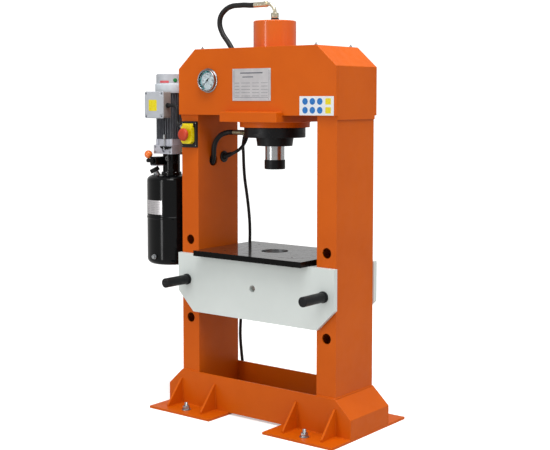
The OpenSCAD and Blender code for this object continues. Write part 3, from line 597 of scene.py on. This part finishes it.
# the route of the lead, in metres from the ram's axis and the floor
LEAD_ROUTE = [
    (-0.274, 0.053, 1.086), (-0.261, 0.059, 1.093), (-0.248, 0.070, 1.104), (-0.238, 0.084, 1.123),
    (-0.236, 0.097, 1.140), (-0.240, 0.113, 1.160), (-0.253, 0.130, 1.175), (-0.273, 0.147, 1.180),
    (-0.293, 0.163, 1.172), (-0.310, 0.177, 1.150), (-0.323, 0.185, 1.117), (-0.329, 0.195, 1.080),
    (-0.330, 0.199, 1.025), (-0.327, 0.202, 0.965), (-0.318, 0.205, 0.900), (-0.310, 0.208, 0.830),
    (-0.305, 0.210, 0.760), (-0.305, 0.210, 0.690), (-0.312, 0.210, 0.610), (-0.325, 0.210, 0.520),
    (-0.342, 0.208, 0.430), (-0.355, 0.207, 0.340), (-0.358, 0.205, 0.260), (-0.350, 0.202, 0.190),
    (-0.344, 0.203, 0.135), (-0.345, 0.209, 0.106), (-0.343, 0.218, 0.078), (-0.335, 0.229, 0.053),
    (-0.320, 0.239, 0.034), (-0.300, 0.246, 0.022), (-0.276, 0.249, 0.017), (-0.246, 0.250, 0.017),
    (-0.214, 0.250, 0.017), (-0.180, 0.256, 0.017), (-0.150, 0.271, 0.017), (-0.119, 0.295, 0.010),
    (-0.088, 0.318, 0.007), (-0.055, 0.329, 0.007)]
TAIL_ROUTE = [
    (-0.040, 0.330, 0.021), (-0.008, 0.328, 0.018), (0.024, 0.321, 0.015), (0.052, 0.308, 0.014),
    (0.074, 0.289, 0.017), (0.087, 0.265, 0.021), (0.090, 0.241, 0.023)]
COIL_X, COIL_Y = -0.040, 0.246
# the four turns lie two by two round this ring, and change places together as they go round
TURNS, TURN_RADIUS, TURN_HEIGHT, TURN_OFF = 4, 0.0769, 0.014, 0.0099
# the part of a turn in which that change is made, the first turn's start and the points in a turn
CHANGE, COIL_START, COIL_STEPS = 0.4, 100, 24
# the gland's place, the way its strain relief leans, and the tie's place round the coil
LEAD_GLAND = (-308, 36, 1073)
RELIEF_LEAN = Matrix.Rotation(math.radians(27), 4, "Z") @ Matrix.Rotation(math.radians(71), 4, "Y")
TIE_ANGLE = 215


def coil_points():
    """The lead's turns, wound clockwise seen from above, each easing into the next."""
    out = []
    total = 360 * TURNS + COIL_START - 90
    count = round(COIL_STEPS * total / 360)
    for k in range(1, count):
        turned = total * k / count
        turn = min(int(turned / 360), TURNS - 1)
        ease = max(0.0, (turned / 360 - turn - 1 + CHANGE) / CHANGE) if turn < TURNS - 1 else 0.0
        ease = ease * ease * (3 - 2 * ease)
        corner = -math.radians(45 + 90 * (turn + ease))
        lift = 0.0029 * math.sin(math.pi * ease)
        radius = TURN_RADIUS + TURN_OFF * math.cos(corner)
        height = TURN_HEIGHT + TURN_OFF * math.sin(corner) + lift
        a = math.radians(COIL_START - turned)
        out.append((COIL_X + radius * math.cos(a), COIL_Y + radius * math.sin(a), height))
    return out


def make_lead():
    """The mains lead as one curve from its gland, round the coil and on to the plug."""
    path = smooth_path(LEAD_ROUTE + coil_points() + TAIL_ROUTE, 3)
    for point in path:
        point.z = max(point.z, LEAD_D / 2)
    curve = bpy.data.curves.new("mains_lead", "CURVE")
    curve.dimensions = "3D"
    curve.bevel_depth = LEAD_D / 2
    curve.bevel_resolution = 5
    curve.use_fill_caps = True
    spline = curve.splines.new("POLY")
    spline.points.add(len(path) - 1)
    for point, place in zip(spline.points, path):
        point.co = (*place, 1)
    spline.use_smooth = True
    lead = add_object("mains_lead", curve)
    curve.materials.append(FINISH["hose_rubber"])
    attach(lead, "frame")
    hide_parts("lead_tube", "lead_coil")
    make_plug()
    make_lead_gland()
    make_tie()


def make_plug():
    """Heavy four-pin plug: a ribbed neck, a waisted grip, a collar and round pins."""
    where = front_of("lead_plug")[0]
    neck = []
    for k in range(5):
        neck += [(8.6 + k, 2 + 4 * k), (9.6 + k, 3.4 + 4 * k), (8.2 + k, 5 + 4 * k)]
    grip = [(14, 22), (20, 27), (20, 38), (18.5, 42), (18.5, 54), (20, 58), (23, 62), (23, 78), (19, 80),
            (0, 80)]
    bm = bmesh.new()
    lathe(bm, rounded([(0, 0), (8.2, 0)] + neck + grip, 1.0), where)
    for a in angles(12):
        prism(bm, [(-0.9, 18), (0.9, 18), (0.9, 19.7), (-0.9, 19.7)], 42, 56, where @ spin(a))
    plug = piece("mains_plug", bm, "black_plastic", stands_for=["lead_plug"])
    bm = bmesh.new()
    for a in angles(4):
        rod(bm, 2.5, 79, 95, where @ spin(a) @ Matrix.Translation((10, 0, 0)), 20, 1)
    return [plug, piece("plug_pins", bm, "brass_fitting")]


def make_lead_gland():
    """Flanged gland in the upright and the ribbed, tapered strain relief that leans out of it."""
    bm = bmesh.new()
    flange = [(0, -6), (20.9, -6), (20.9, 0), (25, 0), (25, 4), (22, 5), (0, 5)]
    lathe(bm, rounded(flange, 1), put(*LEAD_GLAND, RIGHT))
    taper = [(0, 1), (15, 1), (14.5, 11)]
    for k in range(7):
        taper += [(13.4 - 0.7 * k, 12 + 4 * k), (12.2 - 0.7 * k, 13 + 4 * k), (12.8 - 0.7 * k, 15.4 + 4 * k)]
    lathe(bm, taper + [(8.2, 40), (0, 40)], put(*LEAD_GLAND, RELIEF_LEAN), 48)
    return piece("lead_strain_relief", bm, "black_plastic", stands_for=["lead_gland"])


def make_tie():
    """Cable tie round the four turns of the coil."""
    bm = bmesh.new()
    a = math.radians(TIE_ANGLE)
    out, up = Vector((math.cos(a), math.sin(a), 0)), Vector((0, 0, 1))
    middle = at(COIL_X / MM, COIL_Y / MM, 14.3) + out * 0.077
    across = out.cross(up)
    half_width, reach, rise, thick = 0.0024, 0.0142, 0.0139, 0.0008
    outline = rounded(rectangle(reach, rise), 0.005, 5, closed=True)
    rings = []
    for grow, shift in ((0, -1), (0, 1), (thick, 1), (thick, -1)):
        rings.append([bm.verts.new(middle + out * (u + math.copysign(grow, u) * (abs(u) > 0.004))
                                   + up * (v + (grow if v > 0.004 else 0))
                                   + across * shift * half_width) for u, v in outline])
    skin(bm, rings, closed=True)
    return piece("coil_tie", bm, "black_plastic")


# ------------ plates and welds

# how wide the rounded edge of each plate or block is, in millimetres
EDGES = {
    "upright_left": 2.5, "upright_right": 2.5, "head_front_plate": 1.5, "head_back_plate": 1.5,
    "head_top_plate": 1.5, "head_side_plates": 1.5, "mount_block": 2.0, "base_front_plate": 1.5,
    "base_back_plate": 1.5, "base_end_plates": 1.5, "foot_plates": 1.2, "gussets": 0.8,
    "bolster_front_plate": 1.6, "bolster_back_plate": 1.6, "bolster_ribs": 1.0, "table_plate": 1.4,
    "name_plate": 0.4, "sign_plate": 0.3, "valve_block": 1.2, "lever_valve": 1.5,
    "unit_bracket": 1.0, "cylinder_flange": 1.0, "gland_ring": 1.2, "ram_nose": 1.5,
}


def weld(bm, points, radius=3.2, closed=False, pitch=4.0):
    """A rippled weld bead along a line of points, thin at both ends unless it closes."""
    corners = [at(*p) for p in points]
    if closed:
        corners.append(corners[0])
    path = []
    for a, b in zip(corners, corners[1:]):
        steps = max(1, round((b - a).length / (pitch * MM / 2)))
        path += [a.lerp(b, k / steps) for k in range(steps)]
    if not closed:
        path.append(corners[-1])
    radii = []
    for k in range(len(path)):
        size = radius * (1.06 if k % 2 else 0.9) * chance.uniform(0.95, 1.05)
        ending = min(k, len(path) - 1 - k)
        radii.append(MM * size * (1.0 if closed else min(1.0, 0.35 + 0.2 * ending)))
    sweep(bm, path, radii, 6, closed)


def circle(radius, height):
    return [(*polar(radius, a), height) for a in angles(96)]


# places on the frame that the boxes of its nodes don't give, in millimetres from the ram's axis
FOOT_INNER, HEAD_FACE, BARREL_RADIUS = 139.5, 143, 88
GUSSETS, GUSSET_HALF, GUSSET_TOP, GUSSET_REACH = (-402, -215, 215, 402), 4.5, 112, 224


def make_welds():
    head_bottom = span("head_front_plate")[0].z
    base_low, base_high = span("base_front_plate")
    base_top, base_end, base_face = base_high.z, base_high.x, -base_low.y
    block_low, block_high = span("mount_block")
    flange = span("cylinder_flange")[1]
    upright_low, upright_high = span("upright_right")
    inner, outer, face = upright_low.x, upright_high.x, upright_high.y
    foot_top = span("foot_plates")[1].z
    bm = bmesh.new()
    for side in (-1, 1):
        for way in (-1, 1):
            for z, radius in ((base_top, 3.5), (head_bottom, 3.2)):
                weld(bm, [(side * inner, way * face, z), (side * outer, way * face, z)], radius)
            weld(bm, [(side * FOOT_INNER, way * base_face, foot_top),
                      (side * base_end, way * base_face, foot_top)], 2.6)
        weld(bm, [(side * outer, -face, base_top), (side * outer, face, base_top)], 3.5)
    for y in (-HEAD_FACE, HEAD_FACE):
        weld(bm, [(block_low.x, y, block_high.z), (block_high.x, y, block_high.z)], 3.0)
    weld(bm, circle(flange.x, flange.z), 3.0, closed=True)
    weld(bm, circle(BARREL_RADIUS, span("head_top_plate")[1].z), 3.2, closed=True)
    for x in GUSSETS:
        for way in (-1, 1):
            for edge in (x - GUSSET_HALF, x + GUSSET_HALF):
                weld(bm, [(edge, way * base_face, GUSSET_TOP), (edge, way * base_face, foot_top),
                          (edge, way * GUSSET_REACH, foot_top)], 2.3)
    piece("weld_beads", bm, "orange_paint", smooth=60)


def make_plates():
    for node, width in EDGES.items():
        refine(node, width)


# ------------ fasteners

def cap_screw(bm, where, radius, height, socket):
    """A socket-head screw: a round head with a recess in its end."""
    floor = height - 0.5 * radius
    lathe(bm, [(0, 0), (radius, 0), (radius, height - 0.6), (radius - 0.6, height), (socket, height),
               (socket, floor), (0, floor)], where, 24)


def front_corners(node, inset_x, inset_z):
    """The corners of a node's front, each moved inwards."""
    low, high = span(node)
    return [(x, low.y, z) for x in (low.x + inset_x, high.x - inset_x)
            for z in (low.z + inset_z, high.z - inset_z)]


def round_screw(bm, x, y, z, radius, height):
    """A domed screw head or rivet that faces the front."""
    dome = [(radius * math.cos(a), height * math.sin(a)) for a in [math.pi / 10 * k for k in range(5)]]
    lathe(bm, [(0, -0.5), (radius, -0.5)] + dome + [(0, height)], put(x, y, z, FRONT), 20)


ANCHOR_X, ANCHOR_Y = 310, 212
TABLE_BORE = 57


def make_anchors():
    """Studs with a rounded thread, a washer and a nut, in place of the plain anchors."""
    top = span("anchor_bolts")[1].z
    thread = [pair for k in range(22) for pair in ((7.0, 11 + 2 * k), (7.8, 12 + 2 * k))]
    stud = [(0, 3), (7.8, 3)] + [(r, h) for r, h in thread if h < top - 1.5] + [(6.2, top), (0, top)]
    washer = rounded([(8, 10.1), (20, 10.1), (20, 13), (8, 13)], 0.5, 2, closed=True)
    bm = bmesh.new()
    for x in (-ANCHOR_X, ANCHOR_X):
        for y in (-ANCHOR_Y, ANCHOR_Y):
            where = put(x, y, 0)
            lathe(bm, stud, where, 24)
            lathe(bm, washer, where, 40)
            hex_nut(bm, 26, 13, 27, 7.9, where @ spin(chance.uniform(0, 1)))
    piece("anchor_studs", bm, "zinc_steel", stands_for=["anchor_bolts"])


def make_small_screws():
    """The bright wall of the table's bore, the name plate's rivets and the head's cover screws."""
    low, high = span("table_plate")
    inside, outside, bottom, top = TABLE_BORE - 0.4, TABLE_BORE + 0.2, low.z + 0.6, high.z - 0.6
    bm = bmesh.new()
    lathe(bm, [(inside, bottom), (outside, bottom), (outside, top), (inside, top)], put(0, 0, 0), 96)
    piece("table_bore", bm, "zinc_steel")
    bm = bmesh.new()
    for corner in front_corners("name_plate", 6, 6):
        round_screw(bm, *corner, 2.6, 1.4)
    piece("plate_rivets", bm, "plate_aluminium")
    top = span("head_top_plate")[1].z
    stud = [(0, top), (2.6, top), (2.6, top + 10.5), (1.8, top + 11.5), (0, top + 11.5)]
    bm = bmesh.new()
    for x in (-290, 294):
        for y in (-120, 120):
            hex_nut(bm, 10, top, top + 5, 2.0, put(x, y, 0))
            lathe(bm, stud, put(x, y, 0), 16)
    piece("head_top_screws", bm, "zinc_steel")


# ------------ plates with pictures left plain

def rounded_square(half_w, half_h, radius):
    return rounded(rectangle(half_w, half_h), radius, 4, closed=True)


def make_name_plate():
    """Blank data fields in a thin printed frame."""
    low, high = span("name_plate")
    top, bottom = high.z - 14, low.z + 14
    bm = bmesh.new()

    def line(x0, x1, z, half=0.7):
        prism(bm, [(x0, -half), (x1, -half), (x1, half), (x0, half)], -0.2, 0.15,
              put((low.x + high.x) / 2, low.y, z, FRONT))

    line(-58, 58, top - 4, 2.4)
    line(-46, 10, top - 20, 2.0)
    for row in range(5):
        for x0, x1 in ((-86, -62), (-52, -6), (4, 40), (50, 84)):
            line(x0, x1, top - 44 - 13 * row)
    line(-86, 86, bottom)
    for x in (-90, 90):
        line(x - 0.5, x + 0.5, (top + bottom) / 2, (top - bottom) / 2 + 8)
    piece("name_plate_print", bm, "motor_grey")


def make_signs():
    """Plain colour patches where the real plates have pictures."""
    low, high = span("sign_plate")
    blue, yellow = bmesh.new(), bmesh.new()
    for z in (high.z - 20, low.z + 20):
        for column in range(3):
            rod(blue, 13, -0.2, 0.2, put(low.x + 27 + 35 * column, low.y, z, FRONT), 40)
        prism(yellow, rounded_square(13, 12, 3), -0.2, 0.2, put(low.x + 136, low.y, z, FRONT))
    piece("sign_discs", blue, "sign_blue")
    low, high = span("terminal_box")
    prism(yellow, rounded_square(24, 24, 4), -0.2, 0.3,
          put((low.x + high.x) / 2 - 4, low.y, (low.z + high.z) / 2 - 2, FRONT))
    piece("sign_patches", yellow, "yellow_plastic")


# ------------ pressure gauge

GAUGE_X, GAUGE_Z = -238, 1397
SCALE_START, SCALE_SWEEP, DIVISIONS = 225, 270, 60
SCALE_RADIUS, FIGURES_RADIUS, FIGURE_SIZE = 35.5, 25.5, 6.5


def digits(bm, text, size, where):
    """Adds flat raised figures from the built-in font."""
    data = bpy.data.curves.new("figures", "FONT")
    data.body, data.size, data.extrude = text, size, 0.15
    data.align_x = data.align_y = "CENTER"
    made = add_object("figures", data)
    bpy.context.view_layer.update()
    mesh = bpy.data.meshes.new_from_object(made)
    mesh.transform(where)
    start = bmesh.new()
    start.from_mesh(mesh)
    bmesh.ops.remove_doubles(start, verts=start.verts, dist=0.0000005)
    start.to_mesh(mesh)
    start.free()
    bm.from_mesh(mesh)
    bpy.data.objects.remove(made)
    bpy.data.curves.remove(data)
    bpy.data.meshes.remove(mesh)


def make_gauge():
    face = span("gauge_dial")[0].y
    back = span("head_front_plate")[0].y
    where = put(GAUGE_X, face, GAUGE_Z, FRONT)
    marks = bmesh.new()
    for k in range(DIVISIONS + 1):
        a = math.radians(SCALE_START - SCALE_SWEEP * k / DIVISIONS)
        numbered = k % 10 == 0
        start = SCALE_RADIUS - (5.0 if numbered else 3.6 if k % 5 == 0 else 2.2)
        width = 0.5 if numbered else 0.28
        prism(marks, [(start, -width), (SCALE_RADIUS, -width), (SCALE_RADIUS, width), (start, width)],
              -0.1, 0.12, where @ spin(a))
        if numbered:
            spot = Matrix.Translation((*polar(FIGURES_RADIUS, a), 0.05))
            digits(marks, str(k), FIGURE_SIZE, where @ spot)
    piece("dial_marks", marks, "needle_black")
    count, teal = 40, bmesh.new()
    arc = [math.radians(SCALE_START + 20 - (SCALE_SWEEP * 0.62 + 20) * k / count) for k in range(count + 1)]
    outline = [polar(38.6, a) for a in arc] + [polar(33.4, a) for a in reversed(arc)]
    prism(teal, outline, -0.1, 0.08, where)
    piece("dial_arc", teal, "green_plastic", finish="dial_teal")
    base = put(GAUGE_X, back, GAUGE_Z, FRONT)
    bezel = bmesh.new()
    shape = [(39.9, 1), (50.5, 1), (50.5, 2.6), (49.7, 3.6), (47.2, 4.2), (46.6, 5.5), (46.6, 14.5),
             (45.6, 17), (43.4, 18), (41.2, 17), (40.4, 14.6), (39.9, 13)]
    lathe(bezel, rounded(shape, 1.0, 3, closed=True), base, 96)
    rod(bezel, 40.2, 1, 3.8, base, 96)
    # the bezel's darker metal is painted shade
    piece("gauge_bezel", bezel, "chrome", stands_for=["gauge_case"], finish="bezel_shaded_chrome")
    screws = bmesh.new()
    for angle in (90, 210, 330):
        x, z = polar(48.4, math.radians(angle))
        round_screw(screws, GAUGE_X + x, back - 3, GAUGE_Z + z, 1.9, 1.8)
    piece("gauge_screws", screws, "black_steel")
    lens = bmesh.new()
    crown = [(40.1 * math.cos(math.radians(x)), 13.2 + 1.6 * math.sin(math.radians(x)))
             for x in range(0, 90, 9)]
    lathe(lens, [(0, 12.0), (40.1, 12.0)] + crown + [(0, 14.8)], base, 96)
    piece("gauge_lens", lens, "gauge_glass", smooth=60)


# ------------ hoses and cable

TOP_ROUTE = [
    (-0.106, 0, 1.710), (-0.128, 0, 1.710), (-0.165, 0, 1.713), (-0.210, 0, 1.714), (-0.256, 0, 1.703),
    (-0.290, 0, 1.674), (-0.297, 0, 1.636), (-0.280, 0, 1.596), (-0.250, 0, 1.560), (-0.222, 0, 1.520),
    (-0.206, 0, 1.480), (-0.210, 0, 1.435), (-0.240, 0, 1.395), (-0.290, 0, 1.355), (-0.335, 0, 1.315),
    (-0.354, 0, 1.265), (-0.357, 0, 1.215), (-0.372, 0, 1.170), (-0.402, 0, 1.130), (-0.434, 0, 1.109),
    (-0.470, 0, 1.102)]
RING_ROUTE = [
    (-0.222, 0, 1.180), (-0.238, 0, 1.180), (-0.256, -0.006, 1.178), (-0.274, -0.019, 1.169),
    (-0.286, -0.032, 1.152), (-0.292, -0.041, 1.131), (-0.295, -0.044, 1.109), (-0.298, -0.042, 1.088),
    (-0.304, -0.037, 1.069), (-0.316, -0.032, 1.050), (-0.338, -0.031, 1.038), (-0.364, -0.031, 1.035),
    (-0.390, -0.031, 1.041), (-0.412, -0.031, 1.057), (-0.430, -0.031, 1.076), (-0.449, -0.031, 1.091),
    (-0.470, -0.031, 1.096)]
CABLE_ROUTE = [
    (-0.471, -0.120, 1.294), (-0.458, -0.121, 1.294), (-0.445, -0.122, 1.290), (-0.435, -0.124, 1.281),
    (-0.430, -0.126, 1.267), (-0.428, -0.128, 1.250), (-0.427, -0.130, 1.235), (-0.423, -0.133, 1.221),
    (-0.414, -0.136, 1.210), (-0.401, -0.136, 1.205)]


def hose(name, route, diameter, node):
    bm = bmesh.new()
    path = smooth_path(route, 8)
    for point in path:
        point.z = min(point.z, cad_high.z - (diameter / 2 + 0.1) * MM)
    sweep(bm, path, diameter / 2 * MM, 24)
    piece(name, bm, "hose_rubber", stands_for=[node], smooth=60)


# heights of the two hoses at the cylinder, diameters, and places of their ends and the cable's glands
TOP_Z, RING_Z = 1710, 1180
TOP_D, RING_D, CABLE_D = 22, 21.4, 14.4
TOP_END, RING_END = (-492, 0, 1102), (-492, -31, 1096)
BOX_GLAND, SWITCH_GLAND = (-493.5, -120, 1294), (-400.5, -136, 1205)


def ferrule(bm, length, x, y, z):
    """A crimped sleeve along X: flat rings pressed into a tube."""
    radius, rings = 11.5, 5
    step = (length - 10) / rings
    profile = [(0, 0), (radius - 1, 0), (radius, 1)]
    for k in range(rings):
        here = 4 + step * k
        profile += [(radius, here), (radius - 0.45, here + 0.25 * step), (radius - 0.45, here + 0.7 * step),
                    (radius, here + 0.95 * step)]
    profile += [(radius, length - 1), (radius - 1, length), (0, length)]
    lathe(bm, profile, put(x, y, z, RIGHT), 40)


def make_fittings():
    """The two hoses and the control cable, with their sleeves, nuts and glands."""
    brass = bmesh.new()
    ferrule(brass, 54, -106, 0, TOP_Z)
    hex_nut(brass, 24, 0, 14, 8.5, put(-54, 0, TOP_Z, RIGHT))
    rod(brass, 9, 0, 5, put(-41, 0, TOP_Z, RIGHT), 32)
    bend, pipe = 36, 7.5
    path = [at(-42, 0, TOP_Z)]
    path += [at(bend * math.sin(a) - bend, 0, TOP_Z - bend + bend * math.cos(a))
             for a in [math.pi / 2 * k / 16 for k in range(17)]]
    path.append(at(0, 0, 1664))
    sweep(brass, path, pipe * MM, 24)
    hex_nut(brass, 28, 1651, 1673, 7.4, put(0, 0, 0))
    ferrule(brass, 21, *TOP_END)
    piece("top_hose_fittings", brass, "brass_fitting", stands_for=["top_fitting"], finish="zinc_pale")
    black = bmesh.new()
    hex_nut(black, 30, 1640.5, 1651, 7.4, put(0, 0, 0))
    lathe(black, [(7.4, 1639), (13, 1639), (13, 1641), (7.4, 1641)], put(0, 0, 0), 40)
    piece("top_adapter", black, "black_steel")
    steel = bmesh.new()
    ferrule(steel, 54, -222, 0, RING_Z)
    rod(steel, 9, -2, 24, put(-168, 0, RING_Z, RIGHT), 40, 0.6)
    hex_nut(steel, 24, 0, 17, 8, put(-144.5, 0, RING_Z, RIGHT))
    ferrule(steel, 21, *RING_END)
    piece("ring_hose_fittings", steel, "brass_fitting", stands_for=["ring_fitting"], finish="zinc_olive")
    hose("top_hose_line", TOP_ROUTE, TOP_D, "top_hose")
    hose("ring_hose_line", RING_ROUTE, RING_D, "ring_hose")
    cable = bmesh.new()
    sweep(cable, smooth_path(CABLE_ROUTE, 8), CABLE_D / 2 * MM, 24)
    gland = [(0, 0), (9, 0), (9, 6), (8, 7), (8, 15), (6, 21), (4.4, 24), (0, 24)]
    lathe(cable, rounded(gland, 0.6), put(*BOX_GLAND, RIGHT), 40)
    hex_nut(cable, 21, 0.3, 7.3, 4.4, put(*BOX_GLAND, RIGHT))
    piece("switch_cable", cable, "hose_rubber", stands_for=["control_cable"])
    silver = bmesh.new()
    hex_nut(silver, 17, 5, 11, 4.4, put(*SWITCH_GLAND, RIGHT))
    neck = rounded([(4.4, 0), (7, 0), (7, 5), (4.4, 5)], 0.8, 2, closed=True)
    lathe(silver, neck, put(*SWITCH_GLAND, RIGHT), 32)
    piece("switch_gland_nut", silver, "zinc_steel")


# ------------ power unit

# the unit's axis, the top of the pump's flange and the hand valve's spindle
UNIT_X, UNIT_Y, PUMP_FLANGE = -547, -40, 998.5
LEVER_X, LEVER_Y, LEVER_Z = -613, -116, 1052


def make_terminal_box():
    """Box and lid with rounded corners, a dark seal between them and sunk screws; the box's sides are a
    darker, warmer grey that is painted shade with a painted reflection of the orange frame.
    """
    low, high = span("terminal_box")
    where, half_w, half_h = front_of("terminal_box")
    deep = high.y - low.y
    box, seal, lid, dark = bmesh.new(), bmesh.new(), bmesh.new(), bmesh.new()
    prism(box, rounded_square(half_w - 1.5, half_h - 1.5, 7), 0, deep - 9.5, where)
    prism(box, rounded_square(half_w, half_h, 8), deep - 13, deep - 9.2, where)
    # the box's sides are painted shade with a painted orange reflection
    piece("terminal_box_body", box, "pale_plastic", stands_for=["terminal_box"], bevel=0.8, finish="box_side_shade")
    prism(seal, rounded_square(half_w - 1.2, half_h - 1.2, 7), deep - 10, deep - 7.6, where)
    piece("terminal_seal", seal, "black_plastic")
    prism(lid, rounded_square(half_w, half_h, 8), deep - 8, deep - 3, where)
    w, h, cut = half_w - 2, half_h - 2, 15
    u, v = w - cut, h - cut
    cross = [(-w, -v), (-u, -v), (-u, -h), (u, -h), (u, -v), (w, -v),
             (w, v), (u, v), (u, h), (-u, h), (-u, v), (-w, v)]
    prism(lid, rounded(cross, 5, 4, closed=True), deep - 4, deep, where)
    piece("terminal_lid", lid, "pale_plastic", bevel=1.2, segments=3)
    head = [(0, -1), (4.2, -1), (4.2, 0.6), (3.4, 1.4), (1.2, 1.6), (1.2, 0.6), (0, 0.6)]
    for x, y, z in front_corners("terminal_box", 8.5, 8.5):
        lathe(dark, head, put(x, y + 3.2, z, FRONT), 24)
    piece("terminal_screws", dark, "motor_grey")


# reach of the tank's and the fan cover's sides from the unit's axis, and the relief cartridge's place
TANK_SIDE, COVER_SIDE = 108.05, 64.05
RELIEF_X, RELIEF_Y = -530, -102


def on_unit(radius, angle, height, turn=Matrix()):
    """A place round the power unit's axis."""
    x, y = polar(radius, angle)
    return put(UNIT_X + x, UNIT_Y + y, height, turn)


def outward(angle):
    """Turns a shape's own Z away from the power unit's axis."""
    return spin(angle) @ RIGHT


def make_unit_details():
    """The fan cover's band and marks, the tank's label, the block's screws, the relief cartridge and a black
    half-moon of painted shade on the block.
    """
    bar = bmesh.new()
    curved_patch(bar, COVER_SIDE, -93, -55, 1391, 1401, 0.35)
    piece("fan_cover_bar", bar, "red_plastic", finish="label_pale_red")
    band = bmesh.new()
    profile = [(66.5, 1348), (69, 1348), (69, 1385), (67.5, 1388), (63.8, 1388), (63.8, 1384), (66.5, 1383)]
    lathe(band, rounded(profile, 0.8, 2, closed=True), put(UNIT_X, UNIT_Y, 0), 96)
    piece("fan_cover_band", band, "pale_plastic", finish="band_pale")
    disc = bmesh.new()
    a = math.radians(-30)
    button = [(0, -2.5), (9, -2.5), (9, 0.5), (8.4, 0.9), (0, 0.9)]
    lathe(disc, button, on_unit(64, a, 1402.5, outward(a)), 40)
    piece("fan_cover_disc", disc, "green_plastic")
    label = bmesh.new()
    curved_patch(label, TANK_SIDE, -122, -70, 820, 881, 0.4, 40)
    piece("tank_label", label, "plate_aluminium")
    marks = bmesh.new()
    for row in range(7):
        height = 872 - 7.5 * row
        for start, end in ((-119, -106), (-103, -88), (-85, -73)):
            curved_patch(marks, TANK_SIDE + 0.35, start, end - 2 * (row % 3), height, height + 0.9, 0.12, 8)
    piece("tank_label_print", marks, "motor_grey")
    screws = bmesh.new()
    for k in range(4):
        cap_screw(screws, on_unit(50, math.radians(45 + 90 * k), 1146.5), 4.2, 4.5, 2.2)
    for x, y, z in front_corners("valve_block", 12, 9):
        cap_screw(screws, put(x, y + 1, z, FRONT), 4.2, 4.5, 2.2)
    piece("unit_screws", screws, "zinc_steel")
    post = bmesh.new()
    where = put(RELIEF_X, RELIEF_Y, 0)
    stem = [(0, 1100), (5.5, 1100), (5.5, 1112), (3.4, 1114), (3.4, 1150), (0, 1150)]
    lathe(post, rounded(stem, 0.6), where, 24)
    for a in angles(14):
        prism(post, [(4.6, -0.7), (6.4, -0.45), (6.4, 0.45), (4.6, 0.7)], 1147, 1166, where @ spin(a))
    rod(post, 5.6, 1146, 1167, where, 32, 1.0)
    piece("relief_screw", post, "zinc_steel")
    # black half-moon on the block's front: painted shade where the shadow of a recess pocket falls
    pocket_shade = bmesh.new()
    arc = [(31 * math.cos(a), 6 - 14 * math.sin(a)) for a in [math.pi * k / 20 for k in range(21)]]
    prism(pocket_shade, arc, 0, 12, put(-523, -95, 1110, FRONT))
    piece("painted_pocket_shade", pocket_shade, "black_paint", bevel=1.0)


def make_pump_details():
    """Ribs of the hand valve, plugs and bolts of the pump."""
    ribs = bmesh.new()
    for k in range(6):
        prism(ribs, [(-2, -4), (2, -4), (2, 0.5), (-2, 0.5)], 0, 46,
              put(-588 + 6 * k, -80, span("lever_valve")[0].z, FRONT))
    piece("hand_valve_ribs", ribs, "cast_aluminium", bevel=0.3)
    plugs = bmesh.new()
    spot = put(-573, -130, LEVER_Z, FRONT)
    hex_nut(plugs, 19, 0, 8, 5, spot)
    rod(plugs, 5, 0, 9.5, spot, 24, 0.8)
    for angle, height in ((-70, 1062), (-25, 1048), (-50, 1010)):
        a = math.radians(angle)
        spot = on_unit(36, a, height, outward(a))
        lathe(plugs, rounded([(0, 0), (13, 0), (13, 8), (11.5, 9), (0, 9)], 0.8), spot, 40)
        hex_nut(plugs, 15, 8.5, 14, 3, spot)
    piece("pump_plugs", plugs, "black_paint", bevel=0.3)
    bolts = bmesh.new()
    for k in range(6):
        cap_screw(bolts, on_unit(40.5, math.radians(60 * k - 20), PUMP_FLANGE), 3.2, 3.5, 1.7)
    piece("pump_bolts", bolts, "zinc_steel")


def make_lever():
    """Ball knob on a threaded stud that turns the hand valve."""
    hub = bmesh.new()
    rod(hub, 8.6, -7, 7, put(LEVER_X, LEVER_Y, LEVER_Z, FRONT), 40, 1.2)
    rod(hub, 4.6, 0, 18, put(LEVER_X, LEVER_Y, LEVER_Z), 24, 0.5)
    piece("lever_hub", hub, "black_steel", body="lever")
    centre, radius = LEVER_Z + 27, 18
    flat = centre - radius + 1.2
    profile = [(0, flat), (7, flat)]
    for k in range(5, 32):
        reach, rise = polar(radius, math.pi * k / 32 - math.pi / 2)
        profile.append((reach, centre + rise))
    ball = bmesh.new()
    lathe(ball, profile + [(0, centre + radius)], put(LEVER_X, LEVER_Y, 0), 64)
    piece("ball_knob", ball, "knob_orange", body="lever", stands_for=["valve_lever"], smooth=60)


# ------------ switch

def make_switch():
    """A rim round the switch's base, and the screws of its box."""
    where, half_w, half_h = front_of("switch_base")
    back = span("switch_base")[1].y
    inner = rounded_square(half_w - 5.5, half_h - 6, 5)
    outer = rounded_square(half_w + 0.5, half_h + 0.5, 9)
    bm = bmesh.new()
    rings = [[bm.verts.new(where @ Vector((u, v, height))) for u, v in outline]
             for outline, height in ((inner, 1), (outer, 1), (outer, 10.5), (inner, 13))]
    skin(bm, rings, closed=True)
    piece("switch_base_rim", bm, "black_plastic", bevel=0.5)
    screws = bmesh.new()
    for x, _, z in front_corners("switch_base", 4, 8):
        round_screw(screws, x, back - 11.5, z, 2.2, 1.2)
    piece("switch_screws", screws, "zinc_steel")


# ------------ making

make_camera()
make_lead()
make_studio()
make_floor()
finish_nodes()
make_plates()
make_welds()
make_anchors()
make_small_screws()
make_name_plate()
make_signs()
make_gauge()
make_fittings()
make_terminal_box()
make_unit_details()
make_pump_details()
make_lever()
make_switch()
